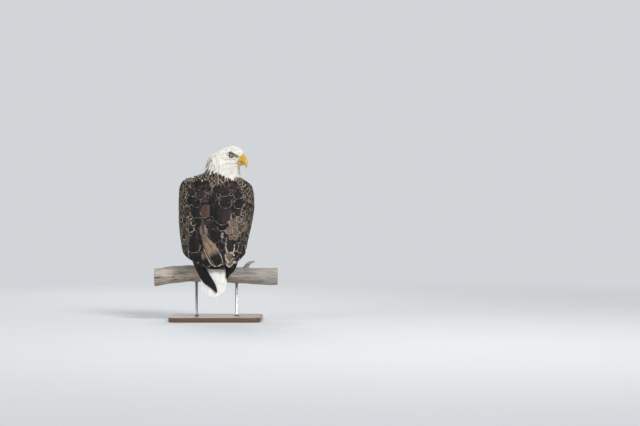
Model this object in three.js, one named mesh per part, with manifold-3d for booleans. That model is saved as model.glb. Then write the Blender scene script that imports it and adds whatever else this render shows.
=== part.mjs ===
// Life-size bald eagle at rest on a cut length of branch, held by a plain display stand.
// Millimetres, +Z up. The origin is on the underside of the stand's base, straight below the branch's
// axis and the middle of the bird's back. The bird's body faces +Y, and its head looks back over its
// right shoulder, towards +X and -Y.
import * as THREE from "three";
import { mergeVertices } from "three/addons/utils/BufferGeometryUtils.js";
import Module from "manifold-3d";

const wasm = await Module();
wasm.setup();

// ---------------------------------------------------------------- driving dimensions
const GAP = 0.4; // clearance between pieces that touch
const SHARPEST = 0.3; // limits how far a sharp corner moves when a piece is swollen
const SLIVER = 0.05; // detail finer than this, left by a cut, is dropped
const HEAD_DETAIL = 0.3; // the same on the head
const PERCH_HEIGHT = 200; // axis of the branch above the floor, under the bird
const LEFT = -1; // side factors: the bird's left is towards -X
const RIGHT = 1;

const BASE = { length: 400, width: 300, thickness: 20, corner: 40, bevel: 2.5, y: -25 };
const ROD = { radius: 6, spread: 88, sides: 16 };

const HEAD_CENTRE = new THREE.Vector3(81, 0, PERCH_HEIGHT + 524.5); // midway between the eyes
const HEAD_TURN = THREE.MathUtils.degToRad(-40); // bill's heading, measured from +X
const HEAD_DIP = THREE.MathUtils.degToRad(2); // bill points this far below level
const EYE = { radius: 12, side: 19.5, ahead: 0, up: 0 };
const SOCKET = { radius: 9.8, side: 32, ahead: 1.5, up: 0, long: 1.08, tall: 0.95 };

// Branch: [x, axis height above PERCH_HEIGHT, axis y, radius]
const BRANCH = [
  [-272, -13, 6, 41],
  [-200, -2, 2, 38.5],
  [-120, 5, 0, 36.5],
  [-40, 3, 0, 36],
  [40, -1, 0, 36],
  [140, -5, 2, 36],
  [210, -9, 4, 37.5],
  [268, -8, 8, 37],
];
const BARK = { swell: 1.1, swellLength: 31, twist: 90, ripple: 0.7, rippleLength: 13 };
const STUB = { start: [112, 2, 4], bend: [140, -16, 46], end: [166, -20, 58], radii: [13, 8, 2.6] };

// Body in level slices: [height above the branch's axis, centre x, half width, back y, front y]
const BODY = [
  [54, -4, 16, -128, -108],
  [62, -4, 36, -130, -78],
  [78, -4, 60, -132, -42],
  [104, -4, 84, -134, 14],
  [144, -3, 106, -130, 66],
  [200, -1, 119, -119, 100],
  [265, 0, 127, -103, 118],
  [330, 0, 130, -84, 118],
  [378, 0, 130, -66, 106],
  [406, 0, 125, -54, 94],
  [423, -4, 113, -48, 86],
  [434, 8, 94, -45, 82],
  [443, 22, 80, -44, 79],
  [456, 28, 73, -45, 77],
  [480, 31, 71.5, -46, 74],
  [504, 34, 69, -44, 69],
  [522, 40, 61, -38, 62],
  [537, 47, 50, -29, 52],
  [549, 53, 36, -17, 40],
  [556, 58, 18, -4, 26],
];

const SQUARENESS = { width: 2.25, depth: 2.15, head: 2.15, lowerBill: 2.3, wing: 2.2 }; // 2 is an ellipse

// Head along its own axis: [ahead of the eyes, half width, crown above and throat below the eyes]
const HEAD = [
  [-72, 12, -6, -22],
  [-66, 25, 10, -34],
  [-52, 36, 26, -46],
  [-34, 40, 36, -50],
  [-16, 36.5, 39.5, -50],
  [0, 31, 38.5, -48],
  [14, 26, 35, -46],
  [28, 20, 31, -43],
  [41, 15.2, 20.5, -39],
  [52, 13, 9, -35],
  [58, 10, 0, -30],
];
// Brow ridge: [ahead, out, up, radius]
const BROW = [
  [-18, 32, 14.5, 3],
  [-3, 30, 14, 5],
  [11, 26, 10, 5.2],
  [26, 19, 4.5, 4.2],
  [40, 13, -1, 3],
];
// Slanted planes through a point, leaning forward towards the crown: the feathers end at one, the cere
// at the other
const FACE = { ahead: 38, up: -12, tilt: 30 };
const HORN = { ahead: 51.5, up: -14, tilt: 4 };
// Upper bill with its cere: [ahead, up] of its ridge, [ahead, up] of its cutting edge, and half width
const BILL = [
  [14, 12, 16, -31, 16.8],
  [28, 11.5, 28, -31.5, 15.6],
  [41, 8.5, 40, -31, 13.9],
  [50, 4, 47.5, -31, 12.7],
  [55, 1, 50.5, -33, 12.4],
  [62.5, -6, 52, -35.5, 11.8],
  [68.5, -13, 54.5, -38, 10.8],
  [73.5, -21, 57.5, -41, 9.4],
  [76.4, -29.5, 60, -43.8, 7.9],
  [76.6, -38, 62.5, -46.8, 6.1],
  [74.6, -45.5, 64.8, -49.8, 4.2],
  [71.5, -51, 66.6, -52.6, 2.3],
  [68.6, -54.6, 67.4, -54.8, 0.8],
];
const BILL_SECTION = { ridge: 1.85, edge: 2.8 }; // roundness of its ridge and of its cutting edges

// Lower bill: [ahead, half width, top, bottom]
const LOWER_BILL = [
  [2, 15.5, -35, -44],
  [16, 14.5, -33.5, -45],
  [30, 12.4, -32, -46],
  [42, 9.6, -32, -45.5],
  [50, 6.6, -34, -43.5],
  [54, 3, -37, -40.5],
];

// Folded wings in level slices: [height, seam x, left edge x, right edge x, middle y, back y]
const WINGS = [
  [26, 22, -88, 96, -92, -157],
  [60, 18, -110, 118, -84, -152],
  [90, 13, -137, 126, -72, -147],
  [131, 7, -148, 134, -54, -141],
  [180, 3, -156, 144, -36, -132],
  [235, 0, -162, 156, -18, -120],
  [285, 0, -164, 164, -4, -106],
  [340, 0, -165, 163, 8, -88],
  [375, 0, -164, 158, 14, -74],
  [400, 0, -160, 150, 16, -64],
  [416, 0, -150, 132, 16, -56],
  [424, 0, -139, 116, 16, -52],
  [432, 0, -122, 92, 16, -46],
];
const WING_TOP = { [LEFT]: 430, [RIGHT]: 413, fall: 24 }; // and how far the top's two ends lie lower
// From the top of a wing to its end: [share of the way down, inner and outer edge in degrees from the spine]
const WING_SPAN = [
  [0, 58, 108],
  [0.12, 46, 124],
  [0.35, 27, 128],
  [0.6, 9, 118],
  [0.72, 1.5, 108],
  [1, 0.6, 92],
];
// Height of the wing's lower edge at the spine, at a share of the way across, and in front
const WING_END = { spine: 24, side: 60, front: 86, turn: 0.6 };
const WING_THICKNESS = { low: 8, high: 46, edge: 4, from: 70, to: 180, fullness: 0.45 }; // low below `from`

// Wing tips, laid over the tail: [height, centre x, half width, thickness]
const WINGTIPS = {
  [LEFT]: [
    [-76, 10, 2.5, 2.4],
    [-67, -1, 12, 4],
    [-40, -23, 20, 5],
    [-13, -42, 20, 6],
    [13, -57, 22, 6],
    [42, -72, 26, 6],
    [66, -84, 26, 6],
  ],
  [RIGHT]: [
    [-17, 58, 2.5, 2.4],
    [-8, 59, 9, 4],
    [12, 64, 16, 5],
    [38, 74, 21, 6],
    [62, 82, 24, 6],
  ],
};
// Tail: [height, centre x, half width, thickness]
const TAIL = [
  [-94, -13, 22, 3],
  [-85, -10, 39, 4],
  [-65, -6, 50, 5],
  [-32, -3, 57, 6],
  [12, -5, 65, 8],
  [60, -6, 60, 11],
  [104, -5, 46, 15],
];
const TAIL_LEAN = { y: -131, z: 28, slope: 0.3 };
const TAIL_MIDDLE = -4; // x of the tail's highest line
const ARCH = { tail: 15, tips: 25, half: 70 }; // how far the sides lie forward at `half` from that line
const TIP_LIFT = { low: 7, high: 9.5, from: -30, to: 60 }; // wing tips behind the tail's middle plane

// Thigh in level slices, for the right leg: [height, out from the body's middle, y, half width, half depth]
const THIGH = [
  [66, 47, -2, 14, 17],
  [75, 47, 0, 23, 27],
  [98, 48, 5, 32, 39],
  [130, 48, 14, 40, 49],
  [170, 46, 24, 43, 53],
  [205, 42, 30, 37, 45],
];
const FEET_MIDDLE = -5; // x midway between the feet
const FOOT_OUT = 47; // each foot's distance from there
// Shank: [y, height, radius]
const SHANK = [
  [-2, 44, 11.4],
  [-3, 60, 9.5],
  [2, 92, 10.9],
];
// Toes: length, heading out from straight ahead in degrees, radius at the root, claw length
const TOES = {
  inner: { length: 50, heading: -34, radius: 9.4, claw: 36 },
  middle: { length: 70, heading: 3, radius: 9.2, claw: 33 },
  outer: { length: 54, heading: 36, radius: 8.4, claw: 28 },
  rear: { length: 36, heading: 176, radius: 10, claw: 40 },
};
const TOE_LIFT = 0.82; // toe's axis above the bark, in radii
const TOE_GIRTH = [1.05, 0.88, 0.98, 0.8, 0.72]; // radius along the toe, in root radii
// Claw: where it starts along its toe, how far it runs, how high it arches and how far it comes down
const CLAW = { start: 0.93, run: 0.9, lift: 0.85, arch: 5, fall: 4.5, peak: 1.15, radii: [5.2, 4.6, 3, 0.9] };

// ---------------------------------------------------------------- small tools
const radians = THREE.MathUtils.degToRad;
const lerp = THREE.MathUtils.lerp;

/** Smooth values at `at` from rows whose first number says where each row stands, in rising order. */
function along(rows, at) {
  const last = rows.length - 1;
  const t = THREE.MathUtils.clamp(at, rows[0][0], rows[last][0]);
  let i = 0;
  while (i < last - 1 && t > rows[i + 1][0]) i++;
  const span = rows[i + 1][0] - rows[i][0];
  const f = (t - rows[i][0]) / span;
  const slope = (k, c) => {
    const a = rows[Math.max(k - 1, 0)];
    const b = rows[Math.min(k + 1, last)];
    return ((b[c] - a[c]) / (b[0] - a[0])) * span;
  };
  return rows[i].slice(1).map((value, k) => {
    const c = k + 1;
    const next = rows[i + 1][c];
    const f2 = f * f;
    const f3 = f2 * f;
    return (
      value * (2 * f3 - 3 * f2 + 1) +
      slope(i, c) * (f3 - 2 * f2 + f) +
      next * (3 * f2 - 2 * f3) +
      slope(i + 1, c) * (f3 - f2)
    );
  });
}

/** Numbers from a to b, both included, drawn towards the ends where `ends` is over 0. */
function steps(a, b, count, ends = 0) {
  return Array.from({ length: count + 1 }, (_, i) => {
    const t = i / count;
    const eased = 0.5 - 0.5 * Math.cos(Math.PI * t);
    return lerp(a, b, lerp(t, eased, ends));
  });
}

/** Cosine or sine flattened towards a box as `power` grows past 2. */
function rounded(value, power) {
  return Math.sign(value) * Math.abs(value) ** (2 / power);
}

/** A closed surface over rings of points, all with the same count, capped by fans at both ends. */
function stack(rings) {
  const count = rings[0].length;
  const middle = (ring) => ring.reduce((sum, p) => sum.add(p), new THREE.Vector3()).divideScalar(count);
  const points = [...rings.flat(), middle(rings[0]), middle(rings[rings.length - 1])];
  const first = rings.length * count;
  const faces = [];
  for (let i = 0; i < count; i++) {
    const j = (i + 1) % count;
    for (let r = 0; r < rings.length - 1; r++) {
      const a = r * count;
      const b = a + count;
      faces.push(a + i, a + j, b + j, a + i, b + j, b + i);
    }
    const top = (rings.length - 1) * count;
    faces.push(first, j, i, first + 1, top + i, top + j);
  }
  const geometry = new THREE.BufferGeometry();
  const numbers = points.flatMap((p) => p.toArray());
  geometry.setAttribute("position", new THREE.Float32BufferAttribute(numbers, 3));
  geometry.setIndex(faces);
  geometry.computeVertexNormals();
  return facingOut(geometry);
}

/** The same geometry with its faces turned round if they point inwards. */
function facingOut(geometry) {
  const p = geometry.attributes.position;
  const index = geometry.index.array;
  const [a, b, c] = [new THREE.Vector3(), new THREE.Vector3(), new THREE.Vector3()];
  let volume = 0;
  for (let i = 0; i < index.length; i += 3) {
    a.fromBufferAttribute(p, index[i]);
    b.fromBufferAttribute(p, index[i + 1]);
    c.fromBufferAttribute(p, index[i + 2]);
    volume += a.dot(b.cross(c));
  }
  if (volume < 0) {
    for (let i = 0; i < index.length; i += 3) [index[i + 1], index[i + 2]] = [index[i + 2], index[i + 1]];
    geometry.computeVertexNormals();
  }
  return geometry;
}

/** Only the positions of a geometry, with shared corners merged and normals worked out again. */
function bare(geometry) {
  const copy = geometry.clone();
  for (const name of Object.keys(copy.attributes)) if (name !== "position") copy.deleteAttribute(name);
  const merged = mergeVertices(copy, 1e-3);
  merged.computeVertexNormals();
  return merged;
}

/** A manifold-3d solid from a closed geometry. */
function solid(geometry) {
  const g = bare(geometry);
  const mesh = new wasm.Mesh({
    numProp: 3,
    vertProperties: new Float32Array(g.attributes.position.array),
    triVerts: new Uint32Array(g.index.array),
  });
  return new wasm.Manifold(mesh);
}

/** A three.js geometry from a manifold-3d solid. */
function shape(made) {
  const mesh = made.getMesh();
  const points = new Float32Array(mesh.numVert * 3);
  for (let i = 0; i < mesh.numVert; i++) {
    points.set(mesh.vertProperties.subarray(i * mesh.numProp, i * mesh.numProp + 3), i * 3);
  }
  const geometry = new THREE.BufferGeometry();
  geometry.setAttribute("position", new THREE.BufferAttribute(points, 3));
  geometry.setIndex(new THREE.BufferAttribute(new Uint32Array(mesh.triVerts), 1));
  geometry.computeVertexNormals();
  return geometry;
}

/** A solid larger all round by at least `by`, also at sharp edges, used to cut its neighbours with a gap. */
function swollen(geometry, by = GAP) {
  const g = bare(geometry);
  const points = g.attributes.position;
  const normals = g.attributes.normal;
  const flattest = new Float32Array(points.count).fill(1);
  const corner = new THREE.Triangle();
  const facing = new THREE.Vector3();
  const normal = new THREE.Vector3();
  for (let i = 0; i < g.index.count; i += 3) {
    const corners = [0, 1, 2].map((k) => g.index.getX(i + k));
    corner.setFromAttributeAndIndices(points, ...corners).getNormal(facing);
    for (const c of corners) {
      flattest[c] = Math.min(flattest[c], facing.dot(normal.fromBufferAttribute(normals, c)));
    }
  }
  for (let i = 0; i < points.count; i++) {
    const reach = by / Math.max(flattest[i], SHARPEST);
    normal.fromBufferAttribute(normals, i);
    points.setXYZ(
      i,
      points.getX(i) + normal.x * reach,
      points.getY(i) + normal.y * reach,
      points.getZ(i) + normal.z * reach,
    );
  }
  return solid(g);
}

/** The largest piece of a solid, without the slivers and pinched corners that a cut leaves. */
function largest(made) {
  const biggest = (whole) => whole.decompose().reduce((a, b) => (a.volume() >= b.volume() ? a : b));
  return biggest(solid(shape(biggest(made.simplify(SLIVER)))));
}

/** What is left of a solid once larger copies of its neighbours are cut away. */
function clearOf(made, neighbours, gap = GAP) {
  return largest(neighbours.reduce((rest, geometry) => rest.subtract(swollen(geometry, gap)), made));
}

/** A round tube through points with a radius at each, smoothed along its length. */
function limb(points, radii, sides, sections) {
  const path = new THREE.CatmullRomCurve3(points, false, "catmullrom", 0.5);
  const frames = path.computeFrenetFrames(sections, false);
  const rows = radii.map((r, i) => [i / (radii.length - 1), r]);
  const rings = frames.normals.map((normal, i) => {
    const centre = path.getPoint(i / sections);
    const [radius] = along(rows, i / sections);
    return Array.from({ length: sides }, (_, k) => {
      const turn = (2 * Math.PI * k) / sides;
      return centre
        .clone()
        .addScaledVector(normal, radius * Math.cos(turn))
        .addScaledVector(frames.binormals[i], radius * Math.sin(turn));
    });
  });
  return stack(rings);
}

const at = (x, y, z) => new THREE.Vector3(x, y, PERCH_HEIGHT + z);

// ---------------------------------------------------------------- stand and branch
/** Flat base with round corners and a small bevel. */
function baseBoard() {
  const { length, width, thickness, corner, bevel } = BASE;
  const x = length / 2 - corner;
  const y = width / 2 - corner;
  const r = corner - bevel;
  const outline = new THREE.Shape();
  outline.absarc(x, y, r, 0, Math.PI / 2);
  outline.absarc(-x, y, r, Math.PI / 2, Math.PI);
  outline.absarc(-x, -y, r, Math.PI, 1.5 * Math.PI);
  outline.absarc(x, -y, r, 1.5 * Math.PI, 2 * Math.PI);
  const board = new THREE.ExtrudeGeometry(outline, {
    depth: thickness - 2 * bevel,
    bevelThickness: bevel,
    bevelSize: bevel,
    bevelSegments: 1,
    curveSegments: 5,
  });
  return board.translate(0, BASE.y, bevel);
}

/** Radius of the branch at x and at an angle round its axis, with slow swells and knots. */
function barkRadius(x, turn, radius) {
  const swell = BARK.swell * Math.sin(x / BARK.swellLength) * Math.cos(2 * turn + x / BARK.twist);
  const ripple = BARK.ripple * Math.sin(x / BARK.rippleLength + 3 * turn);
  return radius + swell + ripple;
}

/** The cut length of branch, with its broken stub. */
function branch() {
  const sides = 15;
  const rings = steps(BRANCH[0][0], BRANCH[BRANCH.length - 1][0], 17).map((x) => {
    const [height, y, radius] = along(BRANCH, x);
    return Array.from({ length: sides }, (_, k) => {
      const turn = (2 * Math.PI * k) / sides;
      const r = barkRadius(x, turn, radius);
      return at(x, y + r * Math.cos(turn), height + r * Math.sin(turn));
    });
  });
  const stub = limb([STUB.start, STUB.bend, STUB.end].map((p) => at(...p)), STUB.radii, 8, 5);
  return shape(solid(stack(rings)).add(solid(stub)));
}

/** A steel rod from the base into the underside of the branch. */
function rod(side, perch) {
  const x = side * ROD.spread;
  const [height, y] = along(BRANCH, x);
  const top = PERCH_HEIGHT + height;
  const bottom = BASE.thickness + GAP;
  const bar = new THREE.CylinderGeometry(ROD.radius, ROD.radius, top - bottom, ROD.sides);
  bar.rotateX(Math.PI / 2).translate(x, y, (top + bottom) / 2);
  return clearOf(solid(bar), [perch]);
}

// ---------------------------------------------------------------- body, neck and head
/** One level ring of the body. */
function bodyRing(height, sides) {
  const [x, half, back, front] = along(BODY, height);
  const middle = (back + front) / 2;
  const depth = (front - back) / 2;
  return Array.from({ length: sides }, (_, k) => {
    const turn = (2 * Math.PI * k) / sides;
    const across = half * rounded(Math.sin(turn), SQUARENESS.width);
    return at(x + across, middle + depth * rounded(Math.cos(turn), SQUARENESS.depth), height);
  });
}

/** Trunk and neck in one closed surface. */
function bodyColumn() {
  const lowest = BODY[0][0];
  const highest = BODY[BODY.length - 1][0];
  const heights = [...steps(lowest, 400, 11), ...steps(414, highest, 9)];
  return stack(heights.map((height) => bodyRing(height, 22)));
}

const headAhead = new THREE.Vector3(
  Math.cos(HEAD_TURN) * Math.cos(HEAD_DIP),
  Math.sin(HEAD_TURN) * Math.cos(HEAD_DIP),
  -Math.sin(HEAD_DIP),
);
const headLeft = new THREE.Vector3(-Math.sin(HEAD_TURN), Math.cos(HEAD_TURN), 0);
const headUp = new THREE.Vector3().crossVectors(headAhead, headLeft);

/** A point given ahead of, to the left of and above the middle between the eyes. */
function inHead(ahead, left, up) {
  return HEAD_CENTRE.clone()
    .addScaledVector(headAhead, ahead)
    .addScaledVector(headLeft, left)
    .addScaledVector(headUp, up);
}

/** An upright ring across the head's axis, with its own crown and throat heights. */
function headRing(ahead, half, top, bottom, sides, power) {
  const middle = (top + bottom) / 2;
  const tall = (top - bottom) / 2;
  return Array.from({ length: sides }, (_, k) => {
    const turn = (2 * Math.PI * k) / sides;
    const left = half * rounded(Math.sin(turn), power);
    return inHead(ahead, left, middle + tall * rounded(Math.cos(turn), power));
  });
}

/** Rings across the head's axis from a table of [ahead, half width, top, bottom]. */
function headLoft(rows, count, sides, power) {
  const places = steps(rows[0][0], rows[rows.length - 1][0], count, 0.5);
  return stack(places.map((ahead) => headRing(ahead, ...along(rows, ahead), sides, power)));
}

/** Head without its bill: the skull and both brow ridges. */
function skull() {
  const dome = headLoft(HEAD, 12, 16, SQUARENESS.head);
  const ridges = [LEFT, RIGHT].map((side) => {
    const points = BROW.map(([ahead, out, up]) => inHead(ahead, -side * out, up));
    return solid(limb(points, BROW.map((row) => row[3]), 6, 6));
  });
  return ridges.reduce((made, ridge) => made.add(ridge), solid(dome));
}

/** Upper bill and cere: rings that turn with the curved ridge and end in the hook. */
function upperBill() {
  const rows = BILL.map((row, i) => [i / (BILL.length - 1), ...row]);
  const sides = 14;
  const rings = steps(0, 1, 17).map((place) => {
    const [ridgeAhead, ridgeUp, edgeAhead, edgeUp, half] = along(rows, place);
    return Array.from({ length: sides }, (_, k) => {
      const turn = (2 * Math.PI * k) / sides;
      const upper = Math.cos(turn) > 0;
      const power = upper ? BILL_SECTION.ridge : BILL_SECTION.edge;
      const share = 0.5 + 0.5 * rounded(Math.cos(turn), power);
      const side = half * rounded(Math.sin(turn), power);
      return inHead(lerp(edgeAhead, ridgeAhead, share), side, lerp(edgeUp, ridgeUp, share));
    });
  });
  return stack(rings);
}

/** An eyeball. */
function eyeball(side) {
  const centre = inHead(EYE.ahead, -side * EYE.side, EYE.up);
  return new THREE.SphereGeometry(EYE.radius, 12, 8).translate(centre.x, centre.y, centre.z);
}

/** The hollow round an eye, open to the outside. */
function socket(side) {
  const centre = inHead(SOCKET.ahead, -side * SOCKET.side, SOCKET.up);
  const hollow = new THREE.SphereGeometry(SOCKET.radius, 12, 8).scale(SOCKET.long, 1, SOCKET.tall);
  return hollow.rotateZ(HEAD_TURN).translate(centre.x, centre.y, centre.z);
}

/** Everything behind or ahead of a plane, as a large block, less half a gap. */
function sideOf(point, normal, ahead) {
  const reach = 1200;
  const block = new THREE.BoxGeometry(reach, reach, reach);
  const towards = normal.clone().normalize();
  const turn = new THREE.Quaternion().setFromUnitVectors(new THREE.Vector3(0, 0, 1), towards);
  const sign = ahead ? 1 : -1;
  const centre = point.clone().addScaledVector(towards, sign * (reach / 2 + GAP / 2));
  block.applyQuaternion(turn).translate(centre.x, centre.y, centre.z);
  return solid(block);
}

/** The part of a solid ahead of or behind a slanted plane across the head. */
function beside(made, { ahead, up, tilt }, front) {
  const normal = new THREE.Vector3()
    .addScaledVector(headAhead, Math.cos(radians(tilt)))
    .addScaledVector(headUp, -Math.sin(radians(tilt)));
  return made.intersect(sideOf(inHead(ahead, 0, up), normal, front));
}

// ---------------------------------------------------------------- wings and tail
/** A point of a wing: `across` runs from the spine to the front edge, `down` from the top to the end. */
function wingPoint(side, across, down, inward) {
  const [inner, outer] = along(WING_SPAN, down);
  const angle = radians(lerp(inner, outer, across));
  const { turn, spine, side: beside, front } = WING_END;
  const end = across < turn
    ? lerp(spine, beside, (across / turn) ** 2)
    : lerp(beside, front, (across - turn) / (1 - turn));
  const top = WING_TOP[side] - WING_TOP.fall * (2 * across - 1) ** 2;
  const height = lerp(top, end, down);
  const [seam, left, right, middle, back] = along(WINGS, height);
  const half = side === LEFT ? seam - left : right - seam;
  const x = side * half * rounded(Math.sin(angle), SQUARENESS.wing);
  const y = -(middle - back) * rounded(Math.cos(angle), SQUARENESS.wing);
  const { low, high, edge, from, to, fullness } = WING_THICKNESS;
  const full = lerp(low, high, THREE.MathUtils.clamp((height - from) / (to - from), 0, 1));
  const thick = lerp(edge, full, Math.sin(Math.PI * across) ** fullness);
  const scale = inward ? 1 - thick / Math.hypot(x, y) : 1;
  return at(seam + side * GAP + x * scale, middle + y * scale, height);
}

/** A folded wing before its neighbours are cut from it. */
function wing(side) {
  const arc = 10;
  const downs = steps(0, 1, 13, 0.35);
  const rings = downs.map((down) => [
    ...steps(0, 1, arc).map((across) => wingPoint(side, across, down, false)),
    ...steps(1, 0, arc).map((across) => wingPoint(side, across, down, true)),
  ]);
  return stack(rings);
}

/** y of the tail's middle plane at a height, arched across its width. */
function tailY(height, offset, arch) {
  const lean = TAIL_LEAN.y - TAIL_LEAN.slope * (TAIL_LEAN.z - height);
  return lean + arch * (offset / ARCH.half) ** 2;
}

/** A thin blade whose level slices follow a table, lying `behind` the tail's middle plane. */
function blade(rows, behind, arch, sections, arc) {
  const heights = steps(rows[0][0], rows[rows.length - 1][0], sections, 0.3);
  const rings = heights.map((height) => {
    const [x, half, thick] = along(rows, height);
    const slice = (share, face) => {
      const px = x + half * share;
      const rim = thick * (0.3 + 0.7 * Math.sqrt(Math.max(1 - share * share, 0)));
      return at(px, tailY(height, px - TAIL_MIDDLE, arch) - behind(height) + (face * rim) / 2, height);
    };
    return [
      ...steps(-1, 1, arc).map((share) => slice(share, 1)),
      ...steps(1, -1, arc).map((share) => slice(share, -1)),
    ];
  });
  return stack(rings);
}

/** The closed tail. */
function tail() {
  return blade(TAIL, () => 0, ARCH.tail, 12, 8);
}

/** The tips of the folded flight feathers, which lie on the back of the tail. */
function wingtip(side) {
  const { low, high, from, to } = TIP_LIFT;
  const lift = (height) => lerp(low, high, THREE.MathUtils.clamp((height - from) / (to - from), 0, 1));
  return blade(WINGTIPS[side], lift, ARCH.tips, 10, 4);
}

// ---------------------------------------------------------------- legs
/** The feathered thigh. */
function thigh(side) {
  const sides = 14;
  const heights = steps(THIGH[0][0], THIGH[THIGH.length - 1][0], 7);
  const rings = heights.map((height) => {
    const [out, y, half, depth] = along(THIGH, height);
    return Array.from({ length: sides }, (_, k) => {
      const turn = (2 * Math.PI * k) / sides;
      return at(FEET_MIDDLE + side * out + half * Math.cos(turn), y + depth * Math.sin(turn), height);
    });
  });
  return stack(rings);
}

/** A point over the bark: `over` along the toe from the top of the branch, `lift` from the bark. */
function onBark(x, over, lift) {
  const [height, y, radius] = along(BRANCH, x);
  const turn = over / (radius + TOES.middle.radius);
  return at(x, y + (radius + lift) * Math.sin(turn), height + (radius + lift) * Math.cos(turn));
}

/** Where a toe lies at a share of its length, which may run past 1 into its claw. */
function toePoint(side, toe, share, lift) {
  const heading = radians(toe.heading);
  const x = FEET_MIDDLE + side * FOOT_OUT + side * toe.length * share * Math.sin(heading);
  return onBark(x, toe.length * share * Math.cos(heading), lift);
}

/** A toe with its joints swollen. */
function toeTube(side, toe) {
  const points = steps(0, 1, TOE_GIRTH.length - 1).map((share) =>
    toePoint(side, toe, share, TOE_LIFT * toe.radius),
  );
  return limb(points, TOE_GIRTH.map((share) => share * toe.radius), 6, 6);
}

/** A claw that leaves the end of its toe, arches up and comes down to the bark. */
function claw(side, toe) {
  const { start, run, lift, arch, fall, peak, radii } = CLAW;
  const points = steps(0, 1, radii.length - 1).map((share) => {
    const rise = toe.radius * lift + arch * Math.sin(Math.PI * Math.min(share * peak, 1)) - fall * share;
    return toePoint(side, toe, start + (run * share * toe.claw) / toe.length, rise);
  });
  return limb(points, radii, 6, 5);
}

/** Shank and toes of one foot. */
function foot(side) {
  const x = FEET_MIDDLE + side * FOOT_OUT;
  const shank = limb(SHANK.map(([y, height]) => at(x, y, height)), SHANK.map((row) => row[2]), 10, 4);
  return Object.values(TOES).reduce((made, toe) => made.add(solid(toeTube(side, toe))), solid(shank));
}

// ---------------------------------------------------------------- materials
const finish = (color, roughness, metalness = 0) =>
  new THREE.MeshStandardMaterial({ color, roughness, metalness });
const MATERIALS = {
  white: finish(0xeee9dd, 0.8),
  brown: finish(0x3b2d24, 0.8),
  dark: finish(0x1d1917, 0.7),
  skin: finish(0xe2b335, 0.6),
  horn: finish(0xe6a92a, 0.35),
  claw: finish(0x1b1a1a, 0.3),
  eye: finish(0xe9dc9c, 0.08),
  wood: finish(0xb3a794, 0.85),
  board: finish(0x8b6b4a, 0.5),
  steel: finish(0xb8bcc0, 0.3, 1),
};

// ---------------------------------------------------------------- assembly
const group = new THREE.Group();

/** Adds one named piece to the model. */
function add(name, geometry, material) {
  const mesh = new THREE.Mesh(geometry, material);
  mesh.name = name;
  group.add(mesh);
  return geometry;
}

const perch = add("perch", branch(), MATERIALS.wood);
add("stand_base", baseBoard(), MATERIALS.board);
add("stand_rod_left", shape(rod(LEFT, perch)), MATERIALS.steel);
add("stand_rod_right", shape(rod(RIGHT, perch)), MATERIALS.steel);

// Head, neck and trunk are one body, parted by two thin cuts.
const whole = solid(bodyColumn()).add(beside(skull(), FACE, false));
const neckBase = at(30, 15, 431);
const neckBaseNormal = new THREE.Vector3(0.17, -0.06, 1);
const neckTop = inHead(-34, 0, -42);
const neckTopNormal = new THREE.Vector3().addScaledVector(headUp, 1).addScaledVector(headAhead, 0.42);
const belowHead = whole.intersect(sideOf(neckTop, neckTopNormal, false));
const trunk = shape(largest(belowHead.intersect(sideOf(neckBase, neckBaseNormal, false))));
const neck = shape(largest(belowHead.intersect(sideOf(neckBase, neckBaseNormal, true))));
const bareHead = largest(whole.intersect(sideOf(neckTop, neckTopNormal, true)));

const eyes = [add("eye_left", eyeball(LEFT), MATERIALS.eye), add("eye_right", eyeball(RIGHT), MATERIALS.eye)];
const opened = bareHead.subtract(solid(socket(LEFT))).subtract(solid(socket(RIGHT)));
const head = add("head", shape(clearOf(opened.simplify(HEAD_DETAIL), eyes)), MATERIALS.white);
add("neck", neck, MATERIALS.white);
add("trunk", trunk, MATERIALS.brown);

const beak = clearOf(beside(solid(upperBill()), FACE, true), [head]);
const bill = add("bill_upper", shape(largest(beside(beak, HORN, true))), MATERIALS.horn);
const cere = add("cere", shape(largest(beside(beak, HORN, false))), MATERIALS.skin);
const lowerBill = beside(solid(headLoft(LOWER_BILL, 8, 14, SQUARENESS.lowerBill)), FACE, true);
add("bill_lower", shape(clearOf(lowerBill, [bill, cere, head, neck])), MATERIALS.horn);

const tailSolid = shape(clearOf(solid(tail()), [trunk]));
add("tail", tailSolid, MATERIALS.white);

const sides = { left: LEFT, right: RIGHT };
const wings = Object.entries(sides).map(([word, side]) =>
  add(`wing_${word}`, shape(clearOf(solid(wing(side)), [trunk, neck, head, tailSolid])), MATERIALS.brown),
);
const offWings = (side) => clearOf(solid(wingtip(side)), [...wings, tailSolid, trunk]);
const leftTip = add("wingtip_left", shape(offWings(LEFT)), MATERIALS.dark);
add("wingtip_right", shape(clearOf(offWings(RIGHT), [leftTip])), MATERIALS.dark);

for (const [word, side] of Object.entries(sides)) {
  const thighRaw = thigh(side);
  add(`thigh_${word}`, shape(clearOf(solid(thighRaw), [trunk])), MATERIALS.brown);
  const footSolid = shape(clearOf(foot(side), [perch, thighRaw]));
  add(`foot_${word}`, footSolid, MATERIALS.skin);
  for (const [name, toe] of Object.entries(TOES)) {
    add(`claw_${word}_${name}`, shape(clearOf(solid(claw(side, toe)), [perch, footSolid])), MATERIALS.claw);
  }
}

export default group;
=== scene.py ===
"""Looks of a life-size bald eagle that grips a cut branch on a plain display stand.

Sizes are in millimetres, with +Z up and the floor at z = 0, and turn to metres as a mesh is made. The
bird's body faces +Y and its head looks back over its right shoulder, towards +X and -Y. A skin, measured
on the frame's flesh, carries feathers that are thin closed vanes laid along it.
"""

from __future__ import annotations

import logging
from dataclasses import dataclass, field
from enum import Enum, IntEnum
from functools import cache
from typing import Callable, Protocol, Sequence, TypeAlias

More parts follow.
